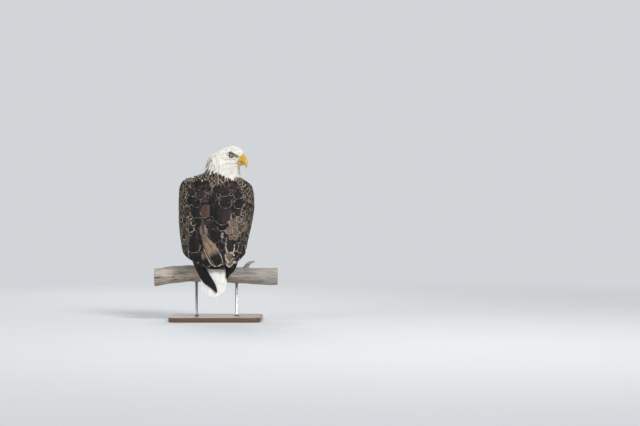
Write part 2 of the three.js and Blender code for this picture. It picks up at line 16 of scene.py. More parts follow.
import bpy
import numpy as np
from mathutils.bvhtree import BVHTree
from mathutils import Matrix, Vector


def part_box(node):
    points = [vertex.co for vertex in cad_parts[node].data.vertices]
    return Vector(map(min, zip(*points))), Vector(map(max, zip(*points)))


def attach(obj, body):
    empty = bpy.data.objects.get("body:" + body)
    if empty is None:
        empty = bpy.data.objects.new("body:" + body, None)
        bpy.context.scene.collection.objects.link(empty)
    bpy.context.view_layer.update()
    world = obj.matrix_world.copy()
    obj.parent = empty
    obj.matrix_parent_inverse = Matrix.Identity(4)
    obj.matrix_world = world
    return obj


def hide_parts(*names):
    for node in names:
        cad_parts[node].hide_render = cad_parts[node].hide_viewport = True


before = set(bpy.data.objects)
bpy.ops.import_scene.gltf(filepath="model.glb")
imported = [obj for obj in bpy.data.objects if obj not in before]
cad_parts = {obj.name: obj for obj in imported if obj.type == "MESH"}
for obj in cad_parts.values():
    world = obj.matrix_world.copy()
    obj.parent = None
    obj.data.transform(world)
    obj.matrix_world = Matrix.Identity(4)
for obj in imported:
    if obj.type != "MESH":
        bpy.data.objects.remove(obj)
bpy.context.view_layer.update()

Array = np.ndarray
Colour = tuple[float, float, float]
Term: TypeAlias = "Value | float | Colour"

log = logging.getLogger("eagle")
chance = np.random.default_rng(11)

METRE = 1000.0  # millimetres in a metre
TURN = 2 * np.pi
PERCH = 200.0  # height of the branch's middle
MISSED_SHRINK = 0.9  # a ray that meets nothing is this much shorter than its neighbour
FINE_PASSES = 2  # rounds of smoothing on the head
COARSE_PASSES = 9  # and on the body
NOSTRIL = (49.5, -11.0)  # ahead and up
NOSTRIL_LEAN = np.radians(28.0)


class Side(IntEnum):
    """A side of the bird's body, whose value is the sign of x there."""

    LEFT = -1
    RIGHT = 1

    @property
    def word(self) -> str:
        """The side as the names of pieces and nodes say it."""
        return self.name.lower()


class Slot(Enum):
    """The record's materials, one of which each piece counts as."""

    WHITE = "white_plumage"
    BROWN = "brown_plumage"
    BLACK = "black_plumage"
    HORN = "bill_horn"
    CERE = "cere_skin"
    EYE = "eye"
    FOOT = "foot_skin"
    CLAW = "claw_horn"
    BRANCH = "branch_wood"
    BASE = "base_wood"
    ROD = "rod_steel"


# ---- numbers
def smooth(value: Array, low: float = 0.0, high: float = 1.0) -> Array:
    """A share that eases from 0 at low to 1 at high, which may be the lesser of the two."""
    t = np.clip((np.asarray(value, float) - low) / (high - low), 0, 1)
    return t * t * (3 - 2 * t)


def unit(vectors: Array) -> Array:
    """The same vectors, each one long."""
    return vectors / np.maximum(np.linalg.norm(vectors, axis=-1, keepdims=True), 1e-9)


def dot(a: Array, b: Array) -> Array:
    """Dot products along the last axis."""
    return np.sum(a * b, axis=-1)


def along(rows: Sequence[Sequence[float]], at: Array) -> Array:
    """Smooth values between the rows of a table.

    Each value is a cubic between two rows, with the slope at a row taken from the rows on both sides.

    Args:
        rows: Rows whose first number, in rising order, says where each row stands.
        at: Where the values are wanted.

    Returns:
        An array shaped like at with one more axis, for the other numbers of a row.
    """
    table = np.asarray(rows, float)
    x, y = table[:, 0], table[:, 1:]
    slope = np.empty_like(y)
    slope[1:-1] = (y[2:] - y[:-2]) / (x[2:] - x[:-2])[:, None]
    slope[0] = (y[1] - y[0]) / (x[1] - x[0])
    slope[-1] = (y[-1] - y[-2]) / (x[-1] - x[-2])
    t = np.clip(np.asarray(at, float), x[0], x[-1])
    i = np.clip(np.searchsorted(x, t, side="right") - 1, 0, len(x) - 2)
    span = (x[i + 1] - x[i])[..., None]
    f = (t - x[i])[..., None] / span
    return (
        y[i] * (1 + 2 * f) * (1 - f) ** 2
        + y[i + 1] * f * f * (3 - 2 * f)
        + span * f * (1 - f) * (slope[i] * (1 - f) - slope[i + 1] * f)
    )


def box_centre(node: str) -> Array:
    """The middle of a node's box, in millimetres."""
    low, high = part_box(node)
    return (np.array(low) + np.array(high)) / 2 * METRE


def rounded(value: Array, power: float) -> Array:
    """Sines or cosines flattened towards a box as power grows past 2."""
    return np.sign(value) * np.abs(value) ** (2 / power)


def bell(off: Array, wide: float) -> Array:
    """A bell curve of a distance from its middle: 1 there and a third at its width."""
    return np.exp(-((off / wide) ** 2))


def steps(rows: Sequence[float] | Sequence[Sequence[float]], at: Array) -> Array:
    """Smooth values, as those of along, between rows that stand evenly from 0 to 1."""
    return along(np.column_stack([np.linspace(0, 1, len(rows)), rows]), at)


def circle(sides: int) -> Array:
    """Angles that go once round."""
    return np.linspace(0, TURN, sides, endpoint=False)


# ---- meshes
@dataclass
class Shape:
    """Vertices and faces of a mesh in the making, with its maps and its per-vertex numbers."""

    points: Array
    faces: list[Array]
    maps: dict[str, Array] = field(default_factory=dict)
    tints: Array | None = None
    sharp: Array | None = None

    def build(self, name: str, material: bpy.types.Material) -> bpy.types.Object:
        """Makes the object.

        Args:
            name: The piece's name.
            material: What the whole piece is finished in.

        Returns:
            The new object, linked to the scene and at the origin.
        """
        mesh = bpy.data.meshes.new(name)
        loops = np.concatenate([f.ravel() for f in self.faces])
        sizes = np.concatenate([np.full(len(f), f.shape[1]) for f in self.faces])
        mesh.vertices.add(len(self.points))
        mesh.vertices.foreach_set("co", (self.points / METRE).astype(np.float32).ravel())
        mesh.loops.add(len(loops))
        mesh.loops.foreach_set("vertex_index", loops.astype(np.int32))
        mesh.polygons.add(len(sizes))
        mesh.polygons.foreach_set("loop_start", (np.cumsum(sizes) - sizes).astype(np.int32))
        mesh.update(calc_edges=True)
        mesh.polygons.foreach_set("use_smooth", np.ones(len(sizes), bool))
        for title, uv in self.maps.items():
            mesh.uv_layers.new(name=title).data.foreach_set("uv", uv[loops].astype(np.float32).ravel())
        if self.tints is not None:
            colours = mesh.color_attributes.new("tint", "FLOAT_COLOR", "POINT")
            colours.data.foreach_set("color", self.tints.astype(np.float32).ravel())
        if self.sharp is not None:
            ends = np.empty(len(mesh.edges) * 2, np.int32)
            mesh.edges.foreach_get("vertices", ends)
            rim = self.sharp[ends.reshape(-1, 2)].all(axis=1)
            mesh.attributes.new("sharp_edge", "BOOLEAN", "EDGE").data.foreach_set("value", rim)
        mesh.materials.append(material)
        made = bpy.data.objects.new(name, mesh)
        bpy.context.scene.collection.objects.link(made)
        return made


def joined(shapes: Sequence[Shape]) -> Shape:
    """Several shapes as one.

    Args:
        shapes: The shapes.

    Returns:
        One shape, which keeps the maps and numbers that all of them have.
    """
    starts = np.cumsum([0] + [len(s.points) for s in shapes])
    faces = [f + start for s, start in zip(shapes, starts) for f in s.faces]
    titles = set.intersection(*(set(s.maps) for s in shapes))
    return Shape(
        np.concatenate([s.points for s in shapes]),
        faces,
        {t: np.concatenate([s.maps[t] for s in shapes]) for t in sorted(titles)},
        None if any(s.tints is None for s in shapes) else np.concatenate([s.tints for s in shapes]),
        None if any(s.sharp is None for s in shapes) else np.concatenate([s.sharp for s in shapes]),
    )


class Ends(Enum):
    """What a tube does at its first and last ring."""

    CLOSED = "closed"
    JOINED = "joined"
    OPEN = "open"


def tube(rings: Array, ends: Ends = Ends.CLOSED) -> Shape:
    """A surface over rings of points, whose neighbours are joined by quads.

    Args:
        rings: Points as (rings, points in a ring, 3), each ring running anticlockwise as seen from the
            last ring.
        ends: Whether a fan closes each end, the last ring is joined to the first, or both are left open.

    Returns:
        The shape, with a map "Along" that runs round and along it.
    """
    count, sides = rings.shape[:2]
    ring = np.arange(count if ends is Ends.JOINED else count - 1)[:, None] * sides
    past = (ring + sides) % (count * sides)
    k = np.arange(sides)[None, :]
    after = (k + 1) % sides
    faces = [np.stack([ring + k, ring + after, past + after, past + k], -1).reshape(-1, 4)]
    points = rings.reshape(-1, 3)
    turn = 1 - np.abs(2 * np.arange(sides) / sides - 1)
    place = np.stack(np.broadcast_arrays(turn[None, :], np.linspace(0, 1, count)[:, None]), -1).reshape(-1, 2)
    if ends is Ends.CLOSED:
        first, last = count * sides, (count - 1) * sides
        faces.append(np.stack([np.full(sides, first), after[0], k[0]], -1))
        faces.append(np.stack([np.full(sides, first + 1), last + k[0], last + after[0]], -1))
        points = np.concatenate([points, rings[[0, -1]].mean(axis=1)])
        place = np.concatenate([place, [[0.5, 0], [0.5, 1]]])
    return Shape(points, faces, {"Along": place})


def facing_out(shape: Shape, centre: Array) -> Shape:
    """A shape with its faces turned over if most of its area faces the centre.

    Args:
        shape: The shape, which is changed.
        centre: A point inside it.

    Returns:
        The same shape.
    """
    total = 0.0
    for faces in shape.faces:
        corner = shape.points[faces]
        normal = np.cross(corner[:, 1] - corner[:, 0], corner[:, 2] - corner[:, 0])
        total += dot(normal, corner.mean(axis=1) - centre).sum()
    if total < 0:
        shape.faces = [faces[:, ::-1] for faces in shape.faces]
    return shape


def carried(path: Array, radii: Array, sides: int, squash: float = 1.0) -> Shape:
    """A round tube about a path.

    Each ring is a circle of that place's radius, square to the path, its vertical axis scaled by squash.

    Args:
        path: Centre points as (n, 3).
        radii: A radius for each.
        sides: Points in a ring.
        squash: Height of a ring over its width.

    Returns:
        The closed shape, facing out.
    """
    ahead = unit(np.gradient(path, axis=0))
    side = unit(np.cross(ahead, [0.0, 0.0, 1.0]) + [1e-6, 0, 0])
    up = np.cross(side, ahead)
    turn = circle(sides)
    out = side[:, None] * np.cos(turn)[None, :, None] + squash * up[:, None] * np.sin(turn)[None, :, None]
    return facing_out(tube(path[:, None] + out * radii[:, None, None]), path.mean(axis=0))


def spokes(made: Shape, path: Array) -> Array:
    """From the middle of each of a carried tube's rings to its points, as (rings, points in a ring, 3)."""
    return made.points[:-2].reshape(len(path), -1, 3) - path[:, None]


def swollen(made: Shape, path: Array, by: Array) -> Shape:
    """A carried tube with each of its points moved out to some times its distance from the path."""
    made.points[:-2] = (path[:, None] + spokes(made, path) * by[..., None]).reshape(-1, 3)
    return made


def ring_of(sides: int) -> Array:
    """A circle of points in x and y, one from its middle."""
    turn = circle(sides)
    return np.stack([np.cos(turn), np.sin(turn)], -1)


def stacked(flat: Array, heights: Array) -> Array:
    """Level rings: x and y as (rings, points in a ring, 2), and each ring's height."""
    return np.concatenate([flat, np.broadcast_to(heights[:, None, None], (*flat.shape[:2], 1))], -1)


class Finish(Protocol):
    """What a piece is finished in."""

    def made(self) -> bpy.types.Material:
        """The material, the same one at every call."""


def piece(name: str, shape: Shape, finish: Finish, slot: Slot, *nodes: str) -> bpy.types.Object:
    """Builds a shape as a piece of the model.

    Args:
        name: The piece's name.
        shape: What it is made of.
        finish: Its finish.
        slot: What it counts as in the record.
        *nodes: The frame's nodes that it stands for.

    Returns:
        The piece.
    """
    return placed(shape.build(name, finish.made()), slot, *nodes)


def placed(made: bpy.types.Object, slot: Slot, *nodes: str) -> bpy.types.Object:
    """Makes an object ride with the model, and reports it.

    Args:
        made: The object.
        slot: What it counts as in the record. Not used.
        *nodes: The frame's nodes that it stands for.

    Returns:
        The object.
    """
    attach(made, "root")
    if nodes:
        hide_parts(*nodes)
    log.info("%s: %d faces", made.name, len(made.data.polygons))
    return made


# ---- shader nodes
class Value:
    """A number or colour that comes out of a material's nodes and takes part in plain arithmetic."""

    def __init__(self, graph: Graph, socket: bpy.types.NodeSocket) -> None:
        """Keeps the socket that the value comes out of."""
        self.graph = graph
        self.socket = socket

    def __add__(self, other: Term) -> Value:
        """The sum."""
        return self.graph.maths("ADD", self, other)

    def __sub__(self, other: Term) -> Value:
        """The difference."""
        return self.graph.maths("SUBTRACT", self, other)

    def __mul__(self, other: Term) -> Value:
        """The product."""
        return self.graph.maths("MULTIPLY", self, other)

    def __truediv__(self, other: Term) -> Value:
        """The quotient."""
        return self.graph.maths("DIVIDE", self, other)

    def __pow__(self, other: Term) -> Value:
        """The power."""
        return self.graph.maths("POWER", self, other)

    def __abs__(self) -> Value:
        """The value without its sign."""
        return self.graph.maths("ABSOLUTE", self)

    def sine(self) -> Value:
        """The sine of an angle in radians."""
        return self.graph.maths("SINE", self)

    def over(self, other: Term) -> Value:
        """The greater of two values."""
        return self.graph.maths("MAXIMUM", self, other)

    def span(self, low: float, high: float, start: float = 0.0, end: float = 1.0) -> Value:
        """A value eased from start, where this one is low, to end, where it is high."""
        made = self.graph.node("MapRange", interpolation_type="SMOOTHSTEP")
        for name, number in zip(made.inputs.keys()[:5], (self, low, high, start, end)):
            self.graph.feed(made.inputs[name], number)
        return Value(self.graph, made.outputs[0])


class Graph:
    """The shader nodes of one material, each added by a short call."""

    def __init__(self, name: str) -> None:
        """Starts a material that holds only a principled shader."""
        self.material = bpy.data.materials.new(name)
        self.material.use_nodes = True
        self.tree = self.material.node_tree
        self.shader = next(n for n in self.tree.nodes if n.type == "BSDF_PRINCIPLED")

    def node(self, kind: str, **settings: object) -> bpy.types.Node:
        """A new node with its own settings."""
        made = self.tree.nodes.new("ShaderNode" + kind)
        for name, value in settings.items():
            setattr(made, name, value)
        return made

    def feed(self, socket: bpy.types.NodeSocket, value: Term) -> None:
        """Links a socket to a value, or sets its own number or colour.

        Args:
            socket: A node's input.
            value: What it is to hold.
        """
        if isinstance(value, Value):
            self.tree.links.new(value.socket, socket)
        elif isinstance(value, tuple) and socket.type == "RGBA":
            socket.default_value = (*value, 1.0)
        else:
            socket.default_value = value

    def maths(self, operation: str, *values: Term) -> Value:
        """The result of one arithmetic node."""
        made = self.node("Math", operation=operation)
        for socket, value in zip(made.inputs, values):
            self.feed(socket, value)
        return Value(self, made.outputs[0])

    def vector(self, operation: str, first: Term, second: Term = (0.0, 0.0, 0.0), out: int = 0) -> Value:
        """The result of one vector node, from the output of that number."""
        made = self.node("VectorMath", operation=operation)
        self.feed(made.inputs[0], first)
        self.feed(made.inputs[1], second)
        return Value(self, made.outputs[out])

    def mix(self, share: Term, first: Term, second: Term) -> Value:
        """One colour turned into another by a share."""
        made = self.node("Mix", data_type="RGBA")
        for number, value in ((0, share), (6, first), (7, second)):
            self.feed(made.inputs[number], value)
        return Value(self, made.outputs[2])

    def shade(self, colour: Term, factor: Term) -> Value:
        """A colour made darker or lighter by a factor."""
        made = self.node("VectorMath", operation="SCALE")
        self.feed(made.inputs[0], colour)
        self.feed(made.inputs["Scale"], factor)
        return Value(self, made.outputs[0])

    def place(self) -> Value:
        """Object coordinates, in metres."""
        return Value(self, self.node("TexCoord").outputs["Object"])

    def map(self, title: str) -> Value:
        """One of the piece's own maps."""
        return Value(self, self.node("UVMap", uv_map=title).outputs[0])

    def noise(self, vector: Value, scale: float, detail: float = 2.0, warp: float = 0.0) -> Value:
        """Noise from 0 to 1."""
        made = self.node("TexNoise")
        for name, value in (("Vector", vector), ("Scale", scale), ("Detail", detail), ("Distortion", warp)):
            self.feed(made.inputs[name], value)
        return Value(self, made.outputs[0])

    def grain(self, vector: Value, scale: Colour, size: float = 1.0, detail: float = 2.0,
              warp: float = 0.0) -> Value:
        """Noise drawn out along the axes whose scale is low."""
        return self.noise(self.vector("MULTIPLY", vector, scale), size, detail, warp)

    def parts(self, vector: Value) -> list[Value]:
        """The three numbers of a vector."""
        made = self.node("SeparateXYZ")
        self.feed(made.inputs[0], vector)
        return [Value(self, socket) for socket in made.outputs]

    def tints(self) -> list[Value]:
        """The four per-vertex numbers of a feather."""
        made = self.node("Attribute", attribute_name="tint")
        return [*self.parts(Value(self, made.outputs["Color"])), Value(self, made.outputs["Alpha"])]

    def finish(self, colour: Term, rough: Term, relief: Value | None = None, depth: float = 0.0,
               **sockets: float) -> bpy.types.Material:
        """Joins everything to the shader.

        Args:
            colour: Base colour.
            rough: Roughness.
            relief: Height from 0 to 1 for bumps, or None.
            depth: How far that height reaches, in millimetres.
            **sockets: Other sockets of the shader, with underscores for spaces.

        Returns:
            The finished material.
        """
        self.feed(self.shader.inputs["Base Color"], colour)
        self.feed(self.shader.inputs["Roughness"], rough)
        for name, value in sockets.items():
            self.feed(self.shader.inputs[name.replace("_", " ")], value)
        if relief is not None:
            bump = self.node("Bump")
            bump.inputs["Distance"].default_value = depth / METRE
            self.feed(bump.inputs["Height"], relief)
            self.tree.links.new(bump.outputs[0], self.shader.inputs["Normal"])
        return self.material


# ---- the head's frame
@dataclass(frozen=True)
class HeadFrame:
    """Where the head is and which way it looks, and lengths ahead, left and up from there."""

    centre: tuple[float, float, float] = (81.0, 0.0, 724.5)
    turn: float = -40.0  # degrees from +X
    dip: float = 2.0  # degrees below level

    def axes(self) -> Array:
        """Unit vectors ahead, to the head's left and up."""
        turn, dip = np.radians(self.turn), np.radians(self.dip)
        ahead = np.array([np.cos(dip) * np.cos(turn), np.cos(dip) * np.sin(turn), -np.sin(dip)])
        left = np.array([-np.sin(turn), np.cos(turn), 0.0])
        return np.stack([ahead, left, np.cross(ahead, left)])

    def place(self, parts: Array) -> Array:
        """Points of the model, from lengths ahead, left and up."""
        return np.array(self.centre) + np.asarray(parts, float) @ self.axes()

    def parts(self, points: Array) -> Array:
        """Lengths ahead, left and up, from points of the model."""
        return (points - np.array(self.centre)) @ self.axes().T


HEAD = HeadFrame()


# ---- finishes
@dataclass(frozen=True)
class Plumage:
    """Feathers: dark or pale vanes with rims, shafts, barbs and bleached ones among them, with painted shade
    towards their roots and on the white head.
    """

    name: str
    deep: Colour
    light: Colour
    rim: Colour
    # the colour of wear, and for the face's and neck's feathers that of painted shade
    worn: Colour
    shaft: Colour
    rough: float = 0.55
    barbs: float = 36.0
    relief: float = 0.25
    # the darkening towards the root is a painted shade of the feathers that lie over it
    root: float = 0.62  # brightness of the hidden root against the tip
    # on the face and neck the same shares bound the painted shade
    patch: tuple[float, float] = (0.0, 1.4)  # shares of the length between which wear shows
    gloss: float = 0.2
    slant: float = 7.0  # how far the barbs lean towards the tip

    @cache
    def made(self) -> bpy.types.Material:
        """The material.

        A feather's tone runs from deep to light by its own number and by clouded noise, and its fourth colour
        mixes in by its own number: wear on most feathers, painted shade on those of the face and neck. Its
        rim shows where it is near its outline, frayed and broken by noise, its shaft is a thin line down its
        middle, and barbs are slanted ridges that meet at the shaft. Towards its root it is darkened, a
        painted shade of the feathers that lie over it.
        """
        g = Graph(self.name)
        tone, rim, worn, wide = g.tints()
        side, way, _ = g.parts(g.map("Vane"))
        across = abs(side * 2.0 - 1.0)
        clouds = g.noise(g.place(), 60.0, 3.0)
        fibres = g.grain(g.map("Vane"), (30.0, 3.0, 1.0))
        colour = g.mix((tone + (clouds - 0.5) * 0.9).span(0.0, 1.0), self.deep, self.light)
        start, end = self.patch
        within = abs(way - (start + end) / 2).span((end - start) * 0.22, (end - start) * 0.5, 1.0, 0.0)
        # Wear, and on the face and neck painted shade, in the feather's fourth colour.
        worn = worn * within * clouds.span(0.25, 0.6, 0.45, 1.0)
        colour = g.mix(worn * fibres.span(0.25, 0.7, 0.6, 1.0), colour, self.worn)
        fray = (g.noise(g.place(), 420.0) - 0.5) * 0.22
        near = (across * way.span(0.2, 0.55)).over(way.span(0.7, 1.02))
        broken = g.noise(g.place(), 150.0).span(0.36, 0.6, 0.25, 1.0)
        edge = (near + fray + wide - 1.0).span(0.0, 0.1) * broken
        colour = g.mix(edge * rim, colour, self.rim)
        line = across.span(0.03, 0.09, 1.0, 0.0)
        colour = g.mix(line * 0.5, colour, self.shaft)
        # Painted shade towards the root, where the feathers above hide it.
        colour = g.shade(colour, way.span(0.0, 0.5, self.root, 1.0))
        barb = ((way * self.barbs - across * self.slant) * TURN).sine()
        height = barb * 0.5 + line * 2.0
        return g.finish(colour, self.rough, height, self.relief, Specular_IOR_Level=self.gloss)


@dataclass(frozen=True)
class Horn:
    """Smooth yellow horn with fine lines of growth, paler towards its tip."""

    base: Colour = (0.68, 0.36, 0.028)
    tip: Colour = (0.80, 0.56, 0.16)
    growth: Colour = (0.50, 0.22, 0.012)
    chalk: Colour = (0.82, 0.66, 0.34)
    rough: float = 0.32

    @cache
    def made(self) -> bpy.types.Material:
        """The material: streaks of stretched noise along the bill's own map, under a thin coat."""
        g = Graph("bill_horn")
        way = g.parts(g.map("Along"))[1]
        cloud = g.noise(g.place(), 55.0, 4.0)
        streak = g.grain(g.map("Along"), (26.0, 3.0, 1.0), 3.0, 4.0)
        colour = g.mix((way + cloud * 0.25).span(0.3, 1.15), self.base, self.tip)
        colour = g.mix(streak.span(0.45, 0.72, 0.0, 0.4), colour, self.growth)
        colour = g.mix(cloud.span(0.58, 0.75, 0.0, 0.3), colour, self.chalk)
        rough = streak.span(0.3, 0.7, self.rough - 0.06, self.rough + 0.12)
        return g.finish(colour, rough, streak, 0.12, Coat_Weight=0.25, Coat_Roughness=0.2,
                        Subsurface_Weight=0.08, Subsurface_Scale=0.004)


@dataclass(frozen=True)
class BareSkin:
    """Bare skin with a fine grain: of the lids, the brows, the gape or the feet."""

    name: str
    colour: Colour
    crease: Colour
    grain: float = 1200.0
    scales: float = 0.0  # scales in a metre, or none
    depth: float = 0.2
    rough: float = 0.45

    @cache
    def made(self) -> bpy.types.Material:
        """The material: a grain of small cells, whose borders are darker, over clouds of colour."""
        g = Graph(self.name)
        cloud = g.noise(g.place(), 70.0, 3.0)
        fine = g.noise(g.place(), self.grain)
        relief = fine
        colour = g.mix(cloud.span(0.35, 0.75, 0.0, 0.35), self.colour, self.crease)
        if self.scales:
            cells = g.node("TexVoronoi", feature="DISTANCE_TO_EDGE")
            g.feed(cells.inputs["Vector"], g.place())
            g.feed(cells.inputs["Scale"], self.scales)
            wall = Value(g, cells.outputs[0]).span(0.02, 0.16)
            colour = g.mix(wall, self.crease, colour)
            relief = wall + fine * 0.2
        rough = fine.span(0.2, 0.8, self.rough - 0.08, self.rough + 0.12)
        return g.finish(colour, rough, relief, self.depth, Specular_IOR_Level=0.45)


@dataclass(frozen=True)
class Cere:
    """The soft yellow skin at the root of the bill, with a nostril on each side whose opening and edge are
    painted shade.
    """

    colour: Colour = (0.73, 0.47, 0.055)
    pale: Colour = (0.80, 0.58, 0.16)
    # painted shade round the nostril
    ring: Colour = (0.42, 0.20, 0.02)
    # painted shade in the nostril's opening
    hole: Colour = (0.012, 0.008, 0.006)
    size: tuple[float, float] = (3.9, 1.9)  # half the dark spot's length and width

    @cache
    def made(self) -> bpy.types.Material:
        """The material: painted shade where a point's ahead and up fall in the nostril's slanted ellipse, and
        fainter painted shade round it.
        """
        g = Graph("cere_skin")
        place = g.parts(g.place())
        reach = []
        for axis, start in zip(HEAD.axes()[[0, 2]], NOSTRIL):
            x, y, z = (part * float(a) for part, a in zip(place, axis))
            reach.append(x + y + z - (float(np.array(HEAD.centre) @ axis) + start) / METRE)
        ahead, up = reach
        cosine, sine = float(np.cos(NOSTRIL_LEAN)), float(np.sin(NOSTRIL_LEAN))
        long = (ahead * cosine + up * sine) / (self.size[0] / METRE)
        wide = (up * cosine - ahead * sine) / (self.size[1] / METRE)
        far = long**2.0 + wide**2.0
        hole = far.span(0.7, 1.15, 1.0, 0.0)
        cloud = g.noise(g.place(), 130.0, 3.0)
        fine = g.noise(g.place(), 1100.0)
        colour = g.mix(cloud.span(0.35, 0.7), self.colour, self.pale)
        # Painted shade round the nostril and in its opening.
        colour = g.mix(far.span(1.0, 3.2, 1.0, 0.0) * 0.5, colour, self.ring)
        colour = g.mix(hole, colour, self.hole)
        return g.finish(colour, 0.42, fine - hole * 4.0, 0.15, Specular_IOR_Level=0.5)


@dataclass(frozen=True)
class EyeGlass:
    """A wet eye: black pupil, pale iris with fine spokes and a dark rim, and dark beyond it."""

    pupil: float = 15.5  # degrees from the eye's axis
    iris: float = 39.0
    pale: Colour = (0.80, 0.70, 0.40)
    deep: Colour = (0.46, 0.33, 0.10)
    beyond: Colour = (0.02, 0.015, 0.01)
    black: Colour = (0.002, 0.002, 0.002)

    @cache
    def made(self) -> bpy.types.Material:
        """The material, from the angle to the eye's axis that its own map gives."""
        g = Graph("eye")
        angle = g.parts(g.map("Along"))[1] * 180.0
        spokes = g.grain(g.map("Along"), (60.0, 2.0, 1.0), 1.0, 3.0)
        colour = g.mix(spokes.span(0.3, 0.7), self.pale, self.deep)
        colour = g.mix(angle.span(self.pupil, self.iris), self.pale, colour)
        colour = g.mix(angle.span(self.iris - 6, self.iris), colour, self.beyond)
        colour = g.mix(angle.span(self.pupil, self.pupil + 1.6, 1.0, 0.0), colour, self.black)
        return g.finish(colour, 0.12, Coat_Weight=1.0, Coat_Roughness=0.03, Specular_IOR_Level=0.6)


@dataclass(frozen=True)
class ClawHorn:
    """Near-black horn with a dull shine, worn paler at the tip."""

    dark: Colour = (0.006, 0.005, 0.005)
    pale: Colour = (0.030, 0.025, 0.022)
    tip: Colour = (0.06, 0.05, 0.04)

    @cache
    def made(self) -> bpy.types.Material:
        """The material: streaks along the claw over a near-black ground."""
        g = Graph("claw_horn")
        way = g.parts(g.map("Along"))[1]
        streak = g.grain(g.map("Along"), (18.0, 2.0, 1.0), 2.0, 3.0)
        colour = g.mix(streak, self.dark, self.pale)
        colour = g.mix(way.span(0.75, 1.0, 0.0, 0.5), colour, self.tip)
        return g.finish(colour, streak.span(0.3, 0.7, 0.22, 0.38), streak, 0.08, Coat_Weight=0.3,
                        Coat_Roughness=0.15)


@dataclass(frozen=True)
class DeadWood:
    """Bare branch wood, weathered grey: long grain, dark checks, and rings where it is sawn."""

    pale: Colour = (0.60, 0.52, 0.44)
    grey: Colour = (0.42, 0.385, 0.355)
    dark: Colour = (0.055, 0.042, 0.034)
    sapwood: Colour = (0.50, 0.37, 0.24)
    ring: Colour = (0.28, 0.185, 0.11)
    ends: tuple[float, float] = (-270.5, 266.5)  # x where the sawn faces start
    piths: tuple[tuple[float, float], tuple[float, float]] = ((6.0, 187.0), (8.0, 192.0))

    @cache
    def made(self) -> bpy.types.Material:
        """The material.

        Noise stretched along X gives the grain, narrow bands of it the checks, and slow noise the grey
        and brown clouds. Past each end's x, rings about the pith take over.
        """
        g = Graph("branch_wood")
        place = g.place()
        x, y, z = g.parts(place)
        grain = g.grain(place, (9.0, 150.0, 150.0), 1.0, 5.0, 0.6)
        check = g.grain(place, (4.0, 62.0, 62.0), 1.0, 3.0, 1.2)
        cloud = g.grain(place, (7.0, 18.0, 18.0), 1.0, 4.0)
        colour = g.mix(cloud.span(0.36, 0.66), self.grey, self.pale)
        colour = g.mix(grain.span(0.42, 0.68, 0.0, 0.55), colour, self.dark)
        crack = abs(check - 0.5).span(0.004, 0.022, 1.0, 0.0) * cloud.span(0.44, 0.6)
        colour = g.mix(crack * 0.85, colour, self.dark)
        for x_end, (y_pith, z_pith), way in zip(self.ends, self.piths, Side):
            away = ((y - y_pith / METRE) ** 2.0 + (z - z_pith / METRE) ** 2.0) ** 0.5
            ring = ((away + g.noise(place, 45.0) * 0.004) * 2600.0).sine()
            sawn = g.mix(ring.span(0.2, 1.0), self.sapwood, self.ring)
            sawn = g.mix(cloud.span(0.3, 0.7, 0.0, 0.4), sawn, self.grey)
            past = (x * float(way)).span(way * x_end / METRE, way * x_end / METRE + 0.0006)
            colour = g.mix(past, colour, sawn)
        return g.finish(colour, grain.span(0.3, 0.7, 0.72, 0.9), grain * 0.6 - crack, 0.9)


@dataclass(frozen=True)
class BaseWood:
    """Planed and oiled hardwood of the base."""

    pale: Colour = (0.19, 0.10, 0.05)
    dark: Colour = (0.115, 0.057, 0.028)

    @cache
    def made(self) -> bpy.types.Material:
        """The material: noise stretched along X gives the grain, and finer noise the pores."""
        g = Graph("base_wood")
        place = g.place()
        bands = g.grain(place, (1.6, 46.0, 46.0), 1.0, 4.0, 0.5)
        pores = g.grain(place, (30.0, 900.0, 900.0))
        colour = g.mix(bands.span(0.3, 0.7), self.dark, self.pale)
        colour = g.mix(pores.span(0.58, 0.75, 0.0, 0.7), colour, self.dark)
        return g.finish(colour, pores.span(0.3, 0.8, 0.34, 0.5), pores, 0.06, Coat_Weight=0.35,
                        Coat_Roughness=0.28)


@dataclass(frozen=True)
class RodSteel:
    """Brushed steel of the rods."""

    dark: Colour = (0.50, 0.51, 0.53)
    pale: Colour = (0.62, 0.63, 0.65)

    @cache
    def made(self) -> bpy.types.Material:
        """The material: fine lines round the rod in its roughness and relief."""
        g = Graph("rod_steel")
        lines = g.grain(g.place(), (60.0, 60.0, 2600.0))
        colour = g.mix(g.noise(g.place(), 30.0), self.dark, self.pale)
        return g.finish(colour, lines.span(0.3, 0.7, 0.24, 0.36), lines, 0.02, Metallic=1.0)


@dataclass(frozen=True)
class UnderSkin:
    """The skin and down under the feathers, white on head and neck and dark below."""

    white: Colour = (0.74, 0.71, 0.65)
    brown: Colour = (0.020, 0.015, 0.012)
    # painted shade round and before the eyes
    lore: Colour = (0.06, 0.052, 0.03)
    border: tuple[float, float] = (638.0, 652.0)  # heights between which the brown turns white
    # spots of painted shade round and before each eye
    marks: tuple[tuple[float, ...], ...] = (
        (20.0, 21.0, -3.0, 12.0), (31.0, 16.5, -6.0, 9.0), (0.0, 29.0, 0.0, 16.0))

    @cache
    def made(self) -> bpy.types.Material:
        """The material.

        The border follows height and noise. Spots of painted shade lie round and before the eyes, each given
        by its ahead, out, up and radius.
        """
        g = Graph("under_skin")
        place = g.place()
        ragged = g.parts(place)[2] + g.noise(place, 60.0) * 0.02
        colour = g.mix(ragged.span(*(height / METRE for height in self.border)), self.brown, self.white)
        # Painted shade in spots round and before each eye.
        for side in Side:
            for ahead, out, up, size in self.marks:
                middle = tuple(HEAD.place([ahead, -side * out, up]) / METRE)
                near = g.vector("DISTANCE", place, middle, 1).span(0.6 * size / METRE, size / METRE, 1.0, 0.0)
                colour = g.mix(near * 0.9, colour, self.lore)
        down = g.noise(place, 380.0, 3.0)
        colour = g.shade(colour, down.span(0.2, 0.8, 0.8, 1.05))
        return g.finish(colour, 0.85, down, 0.4)


